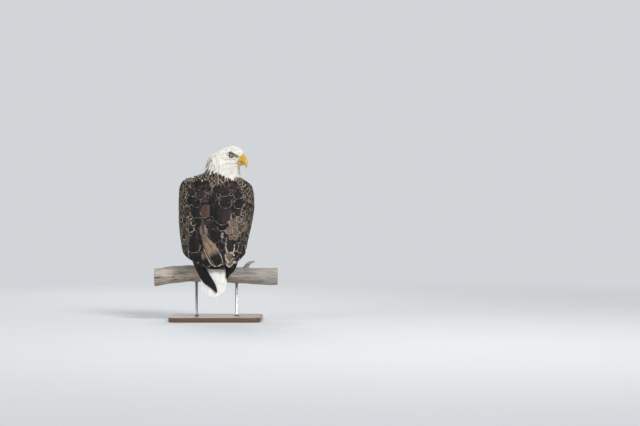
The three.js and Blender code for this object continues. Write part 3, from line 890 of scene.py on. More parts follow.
@dataclass(frozen=True)
class Backdrop:
    """The studio floor: lit and shadowed near the bird, an even pale tone further out."""

    tone: Colour = (0.64, 0.665, 0.69)
    dark: Colour = (0.70, 0.715, 0.73)
    pale: Colour = (0.73, 0.745, 0.755)
    reach: tuple[float, float] = (0.9, 4.5)  # metres between which the even tone takes over

    @cache
    def made(self) -> bpy.types.Material:
        """The material: what the camera, a mirror or glass sees eases from the lit floor into a glow."""
        g = Graph("backdrop")
        g.finish(g.mix(g.noise(g.place(), 3.0), self.dark, self.pale), 0.9)
        glow = g.node("Emission")
        g.feed(glow.inputs["Color"], self.tone)
        seen = g.node("LightPath").outputs
        rays = ("Camera", "Glossy", "Transmission")
        camera, glossy, through = (Value(g, seen[f"Is {ray} Ray"]) for ray in rays)
        blend = g.node("MixShader")
        far = g.vector("LENGTH", g.place(), out=1).span(*self.reach)
        g.feed(blend.inputs[0], camera.over(glossy.over(through)) * far)
        g.feed(blend.inputs[1], Value(g, g.shader.outputs[0]))
        g.feed(blend.inputs[2], Value(g, glow.outputs[0]))
        output = next(n for n in g.tree.nodes if n.type == "OUTPUT_MATERIAL")
        g.feed(output.inputs["Surface"], Value(g, blend.outputs[0]))
        return g.material


# ---- surfaces that feathers lie on
class Lie:
    """A surface of two parameters, read between the points of a grid.

    Rows run down the bird and columns run round it. A place is a row and a column, either of which may
    fall between two grid lines, or past the last row.
    """

    def __init__(self, points: Array, closed: bool = True, met: Array | None = None) -> None:
        """Keeps the grid and works out its slopes and outward normals.

        Args:
            points: Grid points as (rows, columns, 3).
            closed: Whether the columns run all the way round.
            met: Which of several nodes each point lies on, if there are several.
        """
        self.points = points
        self.closed = closed
        self.met = met
        self.rows, self.columns = points.shape[:2]
        self.down = np.gradient(points, axis=0)
        if closed:
            self.across = (np.roll(points, -1, 1) - np.roll(points, 1, 1)) / 2
        else:
            self.across = np.gradient(points, axis=1)
        self.normals = unit(np.cross(self.down, self.across))

    def read(self, grid: Array, row: Array, column: Array) -> Array:
        """Values of a grid at places.

        Args:
            grid: A value for each point of the surface.
            row: The places' rows.
            column: Their columns.

        Returns:
            The blend of each place's four neighbours.
        """
        r = np.clip(row, 0, self.rows - 1.001)
        c = np.mod(column, self.columns) if self.closed else np.clip(column, 0, self.columns - 1.001)
        r0 = r.astype(int)
        c0 = c.astype(int)
        fr = (r - r0)[..., None]
        fc = (c - c0)[..., None]
        c0 %= self.columns
        c1 = (c0 + 1) % self.columns
        top = grid[r0, c0] * (1 - fc) + grid[r0, c1] * fc
        return top * (1 - fr) + (grid[r0 + 1, c0] * (1 - fc) + grid[r0 + 1, c1] * fc) * fr

    def point(self, row: Array, column: Array) -> Array:
        """Points on the surface, which runs on straight past its edges.

        Args:
            row: Their rows.
            column: Their columns.

        Returns:
            The points.
        """
        made = self.read(self.points, row, column)
        beyond = row - np.clip(row, 0, self.rows - 1)
        made = made + beyond[..., None] * self.read(self.down, row, column)
        if not self.closed:
            aside = column - np.clip(column, 0, self.columns - 1)
            made = made + aside[..., None] * self.read(self.across, row, column)
        return made

    def normal(self, row: Array, column: Array) -> Array:
        """Outward normals."""
        return unit(self.read(self.normals, row, column))

    def rates(self, row: Array, column: Array, ahead: Array) -> tuple[Array, Array]:
        """How fast row and column change along a direction in the surface.

        Args:
            row: The places' rows.
            column: Their columns.
            ahead: A direction at each.

        Returns:
            The change of row and of column for each millimetre.
        """
        down = self.read(self.down, row, column)
        across = self.read(self.across, row, column)
        dd, aa, da = dot(down, down), dot(across, across) + 1e-3, dot(down, across)
        x, y = dot(down, ahead), dot(across, ahead)
        room = np.maximum(dd * aa - da * da, 1e-3)
        return (aa * x - da * y) / room, (dd * y - da * x) / room

    def inset(self, depth: Array) -> Lie:
        """The same surface moved inwards by a depth for each point."""
        return Lie(self.points - self.normals * depth[..., None], self.closed)

    def lies_on(self, which: Sequence[int], row: Array, column: Array) -> Array:
        """Whether places lie on some of the nodes."""
        r = np.clip(np.round(row), 0, self.rows - 1).astype(int)
        return np.isin(self.met[r, np.round(column).astype(int) % self.columns], which)

    def facing(self, x: Array, height: Array) -> tuple[Array, Array]:
        """Places on the -Y side, for rows that are level.

        Args:
            x: Where they are across.
            height: How high they are.

        Returns:
            Their rows and columns.
        """
        quarter = self.columns // 4
        turned = np.arange(-quarter, quarter + 1)
        heights = self.points[:, 0, 2]
        row = np.interp(-np.asarray(height, float), -heights, np.arange(self.rows))
        column = [np.interp(value, self.points[int(r), turned, 0], turned) for value, r in zip(x, row)]
        return row, np.array(column)

    def unwrapped(self, row: Array, column: Array) -> Array:
        """Where places fall on the surface's own unwrap, from 0 to 1 each way."""
        u = np.mod(column, self.columns) / self.columns if self.closed else column / (self.columns - 1)
        return np.stack([u, 1 - np.clip(row / (self.rows - 1), 0, 1)], -1)


def outside(nodes: Sequence[str]) -> tuple[BVHTree, Array]:
    """Several nodes as one search tree of triangles.

    Args:
        nodes: The frame's nodes.

    Returns:
        The tree, in millimetres, and which of the nodes each of its triangles is from.
    """
    points: list[Array] = []
    faces: list[Array] = []
    for name in nodes:
        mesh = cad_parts[name].data
        mesh.calc_loop_triangles()
        co = np.empty(len(mesh.vertices) * 3, np.float32)
        mesh.vertices.foreach_get("co", co)
        corners = np.empty(len(mesh.loop_triangles) * 3, np.int32)
        mesh.loop_triangles.foreach_get("vertices", corners)
        faces.append(corners.reshape(-1, 3) + sum(len(p) for p in points))
        points.append(co.reshape(-1, 3) * METRE)
    tree = BVHTree.FromPolygons(np.concatenate(points).tolist(), np.concatenate(faces).tolist())
    return tree, np.repeat(np.arange(len(faces)), [len(f) for f in faces])


def wrapped(nodes: Sequence[str], centres: Array, rise: Array, columns: int, reach: float,
            coarse: Array) -> Lie:
    """The outside of some nodes, as seen from a spine.

    A ray at each column's angle, turned up by each row's rise, comes in from reach to that row's centre
    and stops where it meets the nodes. The lengths are then smoothed by repeated averages of each with
    its neighbours, more of them in coarse rows.

    Args:
        nodes: The frame's nodes.
        centres: The spine's points, one for each row.
        rise: The rays' angle above level, one for each row.
        columns: Rays in a row, the first towards -Y and turning towards +X.
        reach: Where the rays start, from the centre.
        coarse: A share from 0 to 1 for each row, of how far it is smoothed.

    Returns:
        The measured surface.
    """
    tree, owners = outside(nodes)
    turn = circle(columns)
    level = np.stack([np.sin(turn), -np.cos(turn), np.zeros(columns)], -1)
    rays = level[None] * np.cos(rise)[:, None, None]
    rays[..., 2] += np.sin(rise)[:, None]
    starts = (centres[:, None] + rays * reach).reshape(-1, 3)
    inwards = (-rays).reshape(-1, 3)
    hits = [tree.ray_cast(start, ray, reach) for start, ray in zip(starts.tolist(), inwards.tolist())]
    far = np.array([np.nan if hit[2] is None else reach - hit[3] for hit in hits]).reshape(rays.shape[:2])
    met = np.array([-1 if hit[2] is None else owners[hit[2]] for hit in hits]).reshape(rays.shape[:2])
    order = [*range(1, len(far)), *range(len(far) - 2, -1, -1)]
    beside = [*range(len(far) - 1), *range(len(far) - 1, 0, -1)]
    for row, other in zip(order, beside):
        missing = np.isnan(far[row])
        far[row][missing] = far[other][missing] * MISSED_SHRINK
    fine = far
    for step in range(COARSE_PASSES):
        far = (np.roll(far, 1, 1) + 2 * far + np.roll(far, -1, 1)) / 4
        ends = np.concatenate([far[:1], far, far[-1:]])
        far = (ends[:-2] + 2 * ends[1:-1] + ends[2:]) / 4
        if step == FINE_PASSES - 1:
            fine = far
    far = fine + (far - fine) * coarse[:, None]
    return Lie(centres[:, None] + rays * far[..., None], met=met)


# ---- feathers
@dataclass(frozen=True)
class Vane:
    """The shape that the feathers of a tract share."""

    stations: int = 7  # rows of points along a vane
    sides: int = 5  # points across it
    widest: float = 0.62  # share of the length where it is widest
    root: float = 0.4  # width at the root over the greatest
    tip_bend: float = 2.0  # how square the tip's outline is
    tip_fall: float = 0.5  # 0.5 for a round tip, near 1 for a pointed one
    ragged: float = 0.03
    camber: float = 0.12  # rise of the middle over the edges, in half widths
    thick: float = 0.35
    patch: tuple[float, float] = (0.003, 0.003)  # size on the bake map
    crowd: float = 1.45  # how much closer the stations stand towards the tip

    def way(self) -> Array:
        """The stations' shares of the length."""
        return 1 - (1 - np.linspace(0, 1, self.stations)) ** self.crowd

    def across(self) -> Array:
        """The places across a vane, from -1 to 1 and closer at the edges."""
        even = np.linspace(-1, 1, self.sides)
        return 0.35 * np.sin(np.pi / 2 * even) + 0.65 * even

    def outline(self) -> Array:
        """Half width at the stations: a smooth swell from the root, then a curve that closes at the tip."""
        way = self.way()
        swell = self.root + (1 - self.root) * np.sin(np.pi / 2 * np.clip(way / self.widest, 0, 1))
        past = np.clip((way - self.widest) / (1 - self.widest), 0, 1)
        return swell * np.maximum(1 - past**self.tip_bend, 0.0) ** self.tip_fall


@dataclass
class Tract:
    """Feathers of one kind, with one number for each in every array, or one for all."""

    row: Array
    column: Array
    length: Array
    half: Array | float
    turn: Array | float  # angle from the lie, towards +X as seen from outside
    base: Array | float  # height of the root over the skin
    rise: Array | float  # how much higher the tip is
    tone: Array | float
    rim: Array | float
    # how worn, or on the white head and neck how much painted shade
    worn: Array | float
    wide: Array | float = 0.22  # how wide the rim is, in half widths
    order: Array | float = 0.0  # which edge lies over its neighbour, and by how much
    place: Array | None = None  # where each is on the bake map, if not at its own row and column

    def each(self, name: str) -> Array:
        """One of the numbers, as (feathers, 1, 1)."""
        return np.broadcast_to(np.asarray(getattr(self, name), float), (len(self.row),))[:, None, None]

    def tints(self) -> Array:
        """Tone, rim, wear or painted shade, and the rim's width of each feather."""
        return np.concatenate([self.each(name)[:, 0] for name in ("tone", "rim", "worn", "wide")], -1)


def shafts(lie: Lie, tract: Tract, vane: Vane, flow_of: Callable[[Array], Array] | None) -> list[Array]:
    """Where the shafts of a tract's feathers run.

    Each goes down the surface from its root in equal steps along the flow, turned by its own angle.

    Args:
        lie: The surface.
        tract: The feathers.
        vane: Their shape.
        flow_of: The lie of the coat as a direction at each point, or None for down the surface's rows.

    Returns:
        Row, column and how fast each changes for a millimetre to the side, as (feathers, stations, 1).
    """
    way = vane.way()
    angle = tract.each("turn")[:, 0]
    row = tract.row.astype(float)
    column = tract.column.astype(float)
    found = []
    for step in np.append(np.diff(way), 0.0):
        normal = lie.normal(row, column)
        course = lie.read(lie.down, row, column) if flow_of is None else flow_of(lie.point(row, column))
        course = unit(course - normal * dot(course, normal)[:, None])
        beside = np.cross(normal, course)
        ahead = course * np.cos(angle) + beside * np.sin(angle)
        aside = beside * np.cos(angle) - course * np.sin(angle)
        found.append((row, column, *lie.rates(row, column, aside)))
        rates = lie.rates(row, column, ahead)
        row = row + rates[0] * step * tract.length
        column = column + rates[1] * step * tract.length
    return [np.stack(values, 1)[..., None] for values in zip(*found)]


def lay(lie: Lie, tract: Tract, vane: Vane, flow_of: Callable[[Array], Array] | None = None) -> Shape:
    """Lays a tract's feathers on a surface.

    Points across a feather are set off along the surface at right angles to its shaft, and then lifted
    along the normal: by its base, by its rise towards the tip, and by a camber that is greatest on the
    shaft. Its underside is the same but for its thickness, which falls to nothing at the rim.

    Args:
        lie: The surface.
        tract: The feathers.
        vane: Their shape.
        flow_of: The lie of the coat as a direction at each point, or None for down the surface's rows.

    Returns:
        One shape with all the feathers.
    """
    count = len(tract.row)
    way = vane.way()
    side = vane.across()
    row, column, row_rate, column_rate = shafts(lie, tract, vane, flow_of)
    phase = chance.uniform(0, TURN, (2, count, 1))
    fray = np.sin(way * 11 + phase[0]) + np.sin(way * 23 + phase[1])
    width = (vane.outline() * (1 + vane.ragged * fray))[..., None]
    off = tract.each("half") * width * side
    at = (row + row_rate * off, column + column_rate * off)
    surface = lie.point(*at)
    normals = lie.normal(*at)
    arch = width * (1 - side**2)
    lift = tract.each("base") + tract.each("rise") * way[:, None]
    lift = lift + vane.camber * tract.each("half") * arch + tract.each("order") * side
    top = surface + normals * lift[..., None]
    low = top - normals * (vane.thick * arch)[..., None]
    ring = np.concatenate([top, low[:, :, -2:0:-1]], 2)
    around = ring.shape[2]
    each = vane.stations * around
    start = (np.arange(count) * each)[:, None, None]
    k = start + (np.arange(vane.stations - 1) * around)[None, :, None]
    j = np.arange(around)[None, None, :]
    after = (j + 1) % around
    walls = np.stack([k + j, k + around + j, k + around + after, k + after], -1)
    ends = [start[:, 0] + j[0], start[:, 0] + each - around + j[0, :, ::-1]]
    turn = np.concatenate([side, side[-2:0:-1]])
    flat = np.stack(np.broadcast_arrays((turn[None] + 1) / 2, way[:, None]), -1)
    roots = lie.unwrapped(tract.row, tract.column) if tract.place is None else tract.place
    maps = {
        "Vane": np.broadcast_to(flat, (count, *flat.shape)).reshape(-1, 2),
        "OFBake": (roots[:, None, None] + (flat - 0.5)[None] * np.array(vane.patch)).reshape(-1, 2),
    }
    tints = np.repeat(tract.tints(), each, axis=0)
    rim = np.tile(np.isin(np.arange(around), (0, vane.sides - 1)), count * vane.stations)
    return Shape(ring.reshape(-1, 3), [walls.reshape(-1, 4), *ends], maps, tints, rim)


def spots(lie: Lie, field_of: Callable[[Array], Array], levels: Array, gap: Array,
          loose: float = 0.16) -> tuple[Array, Array]:
    """Staggered places on a surface, in rows that are level in some field.

    Down each column the field falls, and the row where it passes a level is found between two points.
    Along the curve that those rows make, places stand a gap apart, half a gap further on in every other
    row, and each is then moved by chance.

    Args:
        lie: The surface.
        field_of: The field's values at points.
        levels: Its values on the rows wanted, falling.
        gap: Distance between places in each row.
        loose: Most that a place moves by chance, in gaps.

    Returns:
        Rows and columns of the places.
    """
    values = np.minimum.accumulate(field_of(lie.points), axis=0)
    turned = np.arange(lie.columns + 1)
    found_rows = []
    found_columns = []
    for k, (level, wide) in enumerate(zip(levels, np.broadcast_to(gap, np.shape(levels)))):
        above = (values > level).sum(axis=0)
        inner = np.clip(above, 1, lie.rows - 1)
        high = values[inner - 1, np.arange(lie.columns)]
        low = values[inner, np.arange(lie.columns)]
        at = inner - 1 + np.clip((high - level) / np.maximum(high - low, 1e-6), 0, 1)
        at = np.append(at, at[0])
        run = np.linalg.norm(np.diff(lie.point(at, turned.astype(float)), axis=0), axis=1)
        length = np.append(0, np.cumsum(run))
        count = max(int(length[-1] / wide), 3)
        number = (np.arange(count) + 0.5 * (k % 2) + loose * chance.uniform(-1, 1, count)) % count
        column = np.interp(number / count * length[-1], length, turned)
        row = np.interp(column, turned, at)
        used = (above > 0) & (above < lie.rows)
        keep = np.append(used, used[0])[np.round(column).astype(int)]
        row = row + loose * wide * chance.uniform(-1, 1, count) / np.linalg.norm(lie.down[lie.rows // 2, 0])
        found_rows.append(row[keep])
        found_columns.append(column[keep])
    return np.concatenate(found_rows), np.concatenate(found_columns)


def scattered(lie: Lie, rows: tuple[int, int], gap_of: Callable[[Array], Array],
              tries: int) -> tuple[Array, Array]:
    """Even but irregular places on part of a surface.

    Places are tried by chance, each cell as often as its area asks. One is kept if it is further than its
    own gap from every place kept before it, which is looked up in cubes as wide as the largest gap.

    Args:
        lie: The surface.
        rows: The first and last row.
        gap_of: The least distance between places, at points.
        tries: How many places are tried.

    Returns:
        Rows and columns of the places kept.
    """
    area = np.linalg.norm(np.cross(lie.down, lie.across), axis=-1)[rows[0]:rows[1]]
    picked = chance.choice(area.size, tries, p=area.ravel() / area.sum())
    row = rows[0] + picked // lie.columns + chance.uniform(0, 1, tries)
    column = picked % lie.columns + chance.uniform(0, 1, tries)
    points = lie.point(row, column)
    gap = gap_of(points)
    wide = gap.max()
    cubes: dict[tuple[int, int, int], list[int]] = {}
    keys = np.floor(points / wide).astype(int).tolist()
    spread = [(i, j, k) for i in (-1, 0, 1) for j in (-1, 0, 1) for k in (-1, 0, 1)]
    kept = []
    places = points.tolist()
    for n, ((x, y, z), (a, b, c), least) in enumerate(zip(places, keys, (gap * gap).tolist())):
        near = (places[m] for i, j, k in spread for m in cubes.get((a + i, b + j, c + k), ()))
        if all((p - x) ** 2 + (q - y) ** 2 + (r - z) ** 2 > least for p, q, r in near):
            cubes.setdefault((a, b, c), []).append(n)
            kept.append(n)
    return row[kept], column[kept]


def jittered(values: Array, share: float) -> Array:
    """The same values, each made up to a share larger or smaller by chance."""
    return values * (1 + share * chance.uniform(-1, 1, np.shape(values)))


# ---- the bird's form
FACE_FRONT = HEAD.place([45.0, 0.0, -12.0])  # feathers are smallest here
BILL_AHEAD = HEAD.place([76.0, 0.0, -16.0])  # those of the face lie away from here
FOLD = np.array([5.0, -150.0, 80.0])  # and those of the body towards here


@dataclass(frozen=True)
class Spine:
    """The line that the body's surface is measured from, as rows of height and place."""

    crown: int = 26  # rows from the top of the head down to level
    step: float = 3.6  # between the rows below those
    columns: int = 200
    top_rise: float = 85.0  # degrees above level of the first row
    reach: float = 260.0
    rows: tuple[tuple[float, float, float], ...] = (  # minus height, x and y
        (-712, 66, 6), (-690, 50, 10), (-660, 32, 14), (-630, 12, 16), (-600, 0, 14), (-540, 0, 12),
        (-460, 0, 4), (-400, 0, -8), (-340, -2, -36), (-290, -3, -70), (-255, -3, -92), (-226, -3, -125))
    smooth_from: tuple[float, float] = (690.0, 610.0)  # heights between which the smoothing sets in

    def measured(self) -> Lie:
        """The surface of head, neck, trunk and folded wings as one."""
        depths = np.arange(self.rows[0][0], self.rows[-1][0], self.step)
        level = np.column_stack([along(self.rows, depths), -depths])
        centres = np.concatenate([np.repeat(level[:1], self.crown, axis=0), level])
        crown = np.radians(np.linspace(self.top_rise, 0, self.crown, endpoint=False))
        rise = np.concatenate([crown, np.zeros(len(level))])
        coarse = smooth(centres[:, 2], *self.smooth_from)
        coarse[: self.crown] = 0
        made = wrapped(SPINE_NODES, centres, rise, self.columns, self.reach, coarse)
        pressed = made.points
        for side in Side:
            pressed = Eye(side).pressed(pressed)
        return Lie(pressed, met=made.met)

    def row(self, height: Array) -> Array:
        """The row at a height."""
        return self.crown - (self.rows[0][0] + np.asarray(height, float)) / self.step


SPINE_NODES = (
    "head", "neck", "trunk", "wing_left", "wing_right",
    "cere", "bill_lower", "tail", "wingtip_left", "wingtip_right")
WINGS = (3, 4)  # which of those are the wings
SPINE = Spine()


def flow(points: Array) -> Array:
    """The lie of the plumage: away from the bill on the face, and down towards the folded wing tips."""
    face = unit(points - BILL_AHEAD)
    fall = unit(FOLD - points)
    share = smooth(np.linalg.norm(points - FACE_FRONT, axis=-1), 62.0, 118.0)[..., None]
    return unit(face * (1 - share) + fall * share)


def border(points: Array) -> Array:
    """The height of the line where the white of the neck ends, by x."""
    x = [-60, -24, 7, 37, 59, 75, 87, 106]
    return np.interp(points[..., 0], x, [641, 646, 638, 633, 619, 611, 624, 625])


# ---- plumage
# The fourth colour of the face's and the neck's white feathers is painted shade, for the marks round the eyes
# and mouth.
FACE_WHITE = Plumage("face_feathers", (0.72, 0.68, 0.58), (0.95, 0.925, 0.87), (0.96, 0.94, 0.89),
                     (0.055, 0.050, 0.028), (0.86, 0.83, 0.76), 0.6, 5.0, 0.04, 0.9)
WHITE = Plumage("white_feathers", (0.66, 0.625, 0.54), (0.95, 0.925, 0.87), (0.96, 0.94, 0.89),
                (0.62, 0.56, 0.46), (0.86, 0.83, 0.76), 0.6, 22.0, 0.10, 0.88)
TAIL_WHITE = Plumage("tail_feathers", (0.80, 0.77, 0.70), (0.95, 0.93, 0.88), (0.96, 0.945, 0.90),
                     (0.55, 0.50, 0.40), (0.70, 0.66, 0.56), 0.55, 150.0, 0.15, 0.9)
BROWN = Plumage("brown_feathers", (0.006, 0.0056, 0.006), (0.050, 0.037, 0.030), (0.60, 0.48, 0.355),
                (0.24, 0.175, 0.125), (0.004, 0.0035, 0.0035), 0.6, 30.0, 0.12)
LONG_BROWN = Plumage("long_brown_feathers", (0.006, 0.0056, 0.006), (0.050, 0.037, 0.030), (0.66, 0.54, 0.43),
                     (0.33, 0.225, 0.15), (0.004, 0.0035, 0.0035), 0.5, 110.0, 0.2, 0.62, (0.1, 0.75))
SCAPULAR = Plumage("scapular_feathers", (0.005, 0.005, 0.006), (0.075, 0.038, 0.031), (0.44, 0.38, 0.36),
                   (0.20, 0.145, 0.105), (0.004, 0.0035, 0.0035), 0.5, 60.0, 0.2, 0.62, (0.1, 1.0))
EDGED = Plumage("edged_feathers", (0.006, 0.0056, 0.006), (0.060, 0.043, 0.034), (0.62, 0.54, 0.46),
                (0.27, 0.19, 0.135), (0.004, 0.0035, 0.0035), 0.55, 44.0, 0.15)
BLACK = Plumage("black_feathers", (0.003, 0.003, 0.004), (0.012, 0.010, 0.010), (0.06, 0.05, 0.04),
                (0.05, 0.04, 0.03), (0.002, 0.002, 0.002), 0.5, 120.0, 0.2)


def height_of(points: Array) -> Array:
    """Heights of points."""
    return points[..., 2]


def fold_distance(points: Array) -> Array:
    """How far points are from where the wings come together."""
    return np.linalg.norm(points - FOLD, axis=-1)


@dataclass
class Coat:
    """The feathers of head, neck, body and wings, laid on one measured surface."""

    lie: Lie
    white_gaps: tuple[tuple[float, ...], ...] = (  # distances from the face's front, and the gap there
        (15, 50, 90, 150), (1.65, 2.2, 3.7, 6.2))
    white_stops: tuple[float, ...] = (15, 40, 70, 100, 150)  # distances at which the next two are given
    white_lengths: tuple[float, ...] = (4.6, 8.4, 15.5, 28.0, 42.0)
    white_halves: tuple[float, ...] = (1.45, 2.1, 3.1, 4.2, 6.3)
    wing_stops: tuple[float, ...] = (270, 340, 560)  # distances from where the wings meet, and for each
    covert_gaps: tuple[float, ...] = (22, 14, 11)
    covert_lengths: tuple[float, ...] = (64, 38, 24)
    covert_halves: tuple[float, ...] = (15, 9.5, 7.5)
    tries: int = 52000
    bill_edge: tuple[tuple[float, ...], ...] = (  # up, and ahead where the face's feathers end
        (-46, -41, -36, -33, -30, -25, -10, -3, 6, 14, 20), (31, 30, 25, 25, 29, 33, 39, 45, 50.5, 52.5, 53))
    face_reach: float = 72.0
    face_vane: Vane = Vane(stations=6, sides=3, widest=0.42, root=0.6, tip_bend=1.4, tip_fall=0.85, thick=0.3)
    hackle_vane: Vane = Vane(stations=8, widest=0.4, root=0.55, tip_bend=1.25, tip_fall=0.9, camber=0.25)
    body_vane: Vane = Vane(stations=9, sides=6, widest=0.6, ragged=0.05)
    back_vane: Vane = Vane(stations=10, sides=7)
    covert_vane: Vane = Vane(stations=9, sides=5, tip_bend=2.1, ragged=0.05)
    shoulder_vane: Vane = Vane(stations=9, sides=7, widest=0.6)
    scapular_vane: Vane = Vane(stations=14, sides=9, widest=0.6, root=0.55, ragged=0.02, camber=0.16)
    tertial_vane: Vane = Vane(stations=18, sides=9, widest=0.72, root=0.6, tip_bend=2.4, ragged=0.012,
                              camber=0.14)
    tip_vane: Vane = Vane(stations=14, sides=9, widest=0.6, root=0.6, tip_bend=2.2, ragged=0.02, camber=0.14)
    flight_vane: Vane = Vane(stations=18, sides=7, widest=0.7, root=0.6, tip_bend=2.2, ragged=0.012)
    crown_step: float = 2.0
    crown_reach: float = 24.0
    shaft_room: float = 2.4  # how far from the crown's top a feather's edge may pass

    def build(self) -> None:
        """Makes and dresses every tract."""
        face, hackles = self.white()
        piece("feathers_face", face, FACE_WHITE, Slot.WHITE)
        piece("feathers_neck", hackles, WHITE, Slot.WHITE)
        piece("feathers_body", self.body(), BROWN, Slot.BROWN)
        for side in Side:
            piece(f"coverts_{side.word}", self.coverts(side), BROWN, Slot.BROWN)
        for side in Side:
            piece(f"flights_{side.word}", self.flights(side), LONG_BROWN, Slot.BROWN)
        piece("scapulars", self.scapulars(), SCAPULAR, Slot.BROWN)
        piece("tertials", self.singles(TERTIALS, self.tertial_vane), LONG_BROWN, Slot.BROWN)
        piece("feather_tips", self.singles(TIPS, self.tip_vane), EDGED, Slot.BROWN)

    def white(self) -> tuple[Shape, Shape]:
        """The white feathers: short and fine on the face, long pointed hackles on the neck.

        All their places come from one scatter whose gap grows with the distance from the bill, so the two
        pieces run into each other. Those whose shafts would cross the top of the head, where the
        surface's columns meet, are laid on a grid of their own.

        Returns:
            The face's feathers and the neck's.
        """
        row, column = scattered(self.lie, (0, int(SPINE.row(628.0))), self.white_gap, self.tries)
        points = self.lie.point(row, column)
        far = np.linalg.norm(points - FACE_FRONT, axis=-1)
        ahead, _, up = HEAD.parts(points).T
        keep = ahead < np.interp(up, *self.bill_edge) + chance.uniform(-0.8, 0.8, len(row))
        for side in Side:
            keep &= Eye(side).clear(points)
        length = np.interp(far, self.white_stops, self.white_lengths)
        half = np.interp(far, self.white_stops, self.white_halves)
        normal = self.lie.normal(row, column)
        course = flow(points)
        course = unit(course - normal * dot(course, normal)[:, None])
        keep &= points[:, 2] + 0.9 * length * course[:, 2] > border(points) + chance.uniform(-9, 5, len(row))
        row, column, far, points, course, length, half = (
            v[keep] for v in (row, column, far, points, course, length, half))
        # painted shade round and before the eyes, under them, along the mouth and behind them
        worn = self.dark_marks(points)
        top = self.lie.points[0].mean(axis=0) - points
        ahead_of = dot(top, course)
        off = np.linalg.norm(top - course * ahead_of[:, None], axis=1)
        crossing = (ahead_of > 0) & (ahead_of < length) & (off < half + self.shaft_room)
        ruff = smooth(points[:, 0], 25, -10) * smooth(points[:, 2], 640, 665) * smooth(points[:, 2], 745, 715)
        ruff = 0.26 * ruff * chance.uniform(0, 1, len(row))
        pole = 0.3 + 0.7 * smooth(np.linalg.norm(top, axis=1), 4, 18)
        lift = pole * length * (np.interp(far, [15, 60, 150], [0.11, 0.09, 0.08]) + ruff)
        fine = far < self.face_reach
        made = []
        for chosen, vane in ((fine & ~crossing, self.face_vane), (~fine & ~crossing, self.hackle_vane)):
            number = int(chosen.sum())
            tract = self.tract(
                row[chosen], column[chosen], length[chosen], half[chosen], lift[chosen],
                base=-0.3, tone=chance.uniform(0.15, 1.0, number), worn=worn[chosen],
                turn=np.radians(chance.normal(0, 8, number)))
            made.append(lay(self.lie, tract, vane, flow))
        crown = self.crown()
        at = (points[crossing, :2] - crown.points[0, 0, :2]) / self.crown_step
        tract = self.tract(
            at[:, 0], at[:, 1], length[crossing], half[crossing], 0.5 * lift[crossing] + 0.4,
            base=-0.1, tone=chance.uniform(0.15, 1.0, len(at)), worn=0.0, turn=np.zeros(len(at)),
            place=self.lie.unwrapped(row[crossing], column[crossing]))
        return made[0], joined([made[1], lay(crown, tract, self.hackle_vane, flow)])

    def white_gap(self, points: Array) -> Array:
        """The least distance between the roots of white feathers."""
        return np.interp(np.linalg.norm(points - FACE_FRONT, axis=-1), *self.white_gaps)

    def dark_marks(self, points: Array) -> Array:
        """How much painted shade the white feathers get at points of the head.

        All of it is painted shade. A ring lies round each eye and a wedge before it, both eased at their
        edges, for the shade of the brows. Bell curves of up make thin streaks under the eye, along the mouth
        and behind the eye, and a few specks are dark under the mouth.

        Args:
            points: The feathers' roots.

        Returns:
            A share for each, over 1 where the painted shade is darkest.
        """
        ahead, out, up = HEAD.parts(points).T
        count = len(points)
        dark = np.zeros(count)
        for side in Side:
            high, off, _ = Eye(side).above(points)
            ring = off + 20.0 * (high < 0) + 0.25 * (8 - ahead)
            dark = np.maximum(dark, smooth(ring, 15.0, 12.5) * chance.uniform(1.2, 2.2, count))
        wedge = smooth(np.abs(up + 1.0 + 0.22 * (ahead - 8)) / (7.5 - 0.1 * ahead), 1.2, 0.7)
        wedge = wedge * smooth(ahead, 4, 12) * smooth(ahead, 44, 36) * (np.abs(out) > 6)
        dark = np.maximum(dark, wedge * chance.uniform(1.0, 2.2, count))
        under = bell(up + 19.5 - 0.1 * ahead, 2.4) * smooth(ahead, -16, -6) * smooth(ahead, 34, 20)
        mouth = bell(up + 36.5 - 0.08 * ahead, 1.9) * smooth(ahead, -24, -8) * smooth(ahead, 36, 28)
        behind = 0.3 * bell(up - 4 + 0.05 * ahead, 4.0) * smooth(ahead, -12, -20) * smooth(ahead, -70, -40)
        specks = 0.7 * (chance.uniform(0, 1, count) < 0.06)
        specks = specks * smooth(np.abs(up + 48), 16, 8) * smooth(ahead, -20, 0)
        streaks = np.maximum(under, mouth) * chance.uniform(0.2, 1.5, count)
        return np.clip(np.max([dark, streaks, behind, specks], axis=0), 0, 2.2)

    def crown(self) -> Lie:
        """The top of the head as a grid in x and y, its heights a quadratic fitted to the surface there."""
        near = self.lie.points[:8].reshape(-1, 3)
        middle = self.lie.points[0].mean(axis=0)[:2]

        def terms(x: Array, y: Array) -> Array:
            """The quadratic's six terms."""
            return np.stack([1 + 0 * x, x, y, x * x, x * y, y * y], -1)

        fit = np.linalg.lstsq(terms(*(near[:, :2] - middle).T), near[:, 2], rcond=None)[0]
        off = np.arange(-self.crown_reach, self.crown_reach + 0.5, self.crown_step)
        x, y = np.meshgrid(off, off, indexing="ij")
        return Lie(np.stack([x + middle[0], y + middle[1], terms(x, y) @ fit], -1), closed=False)

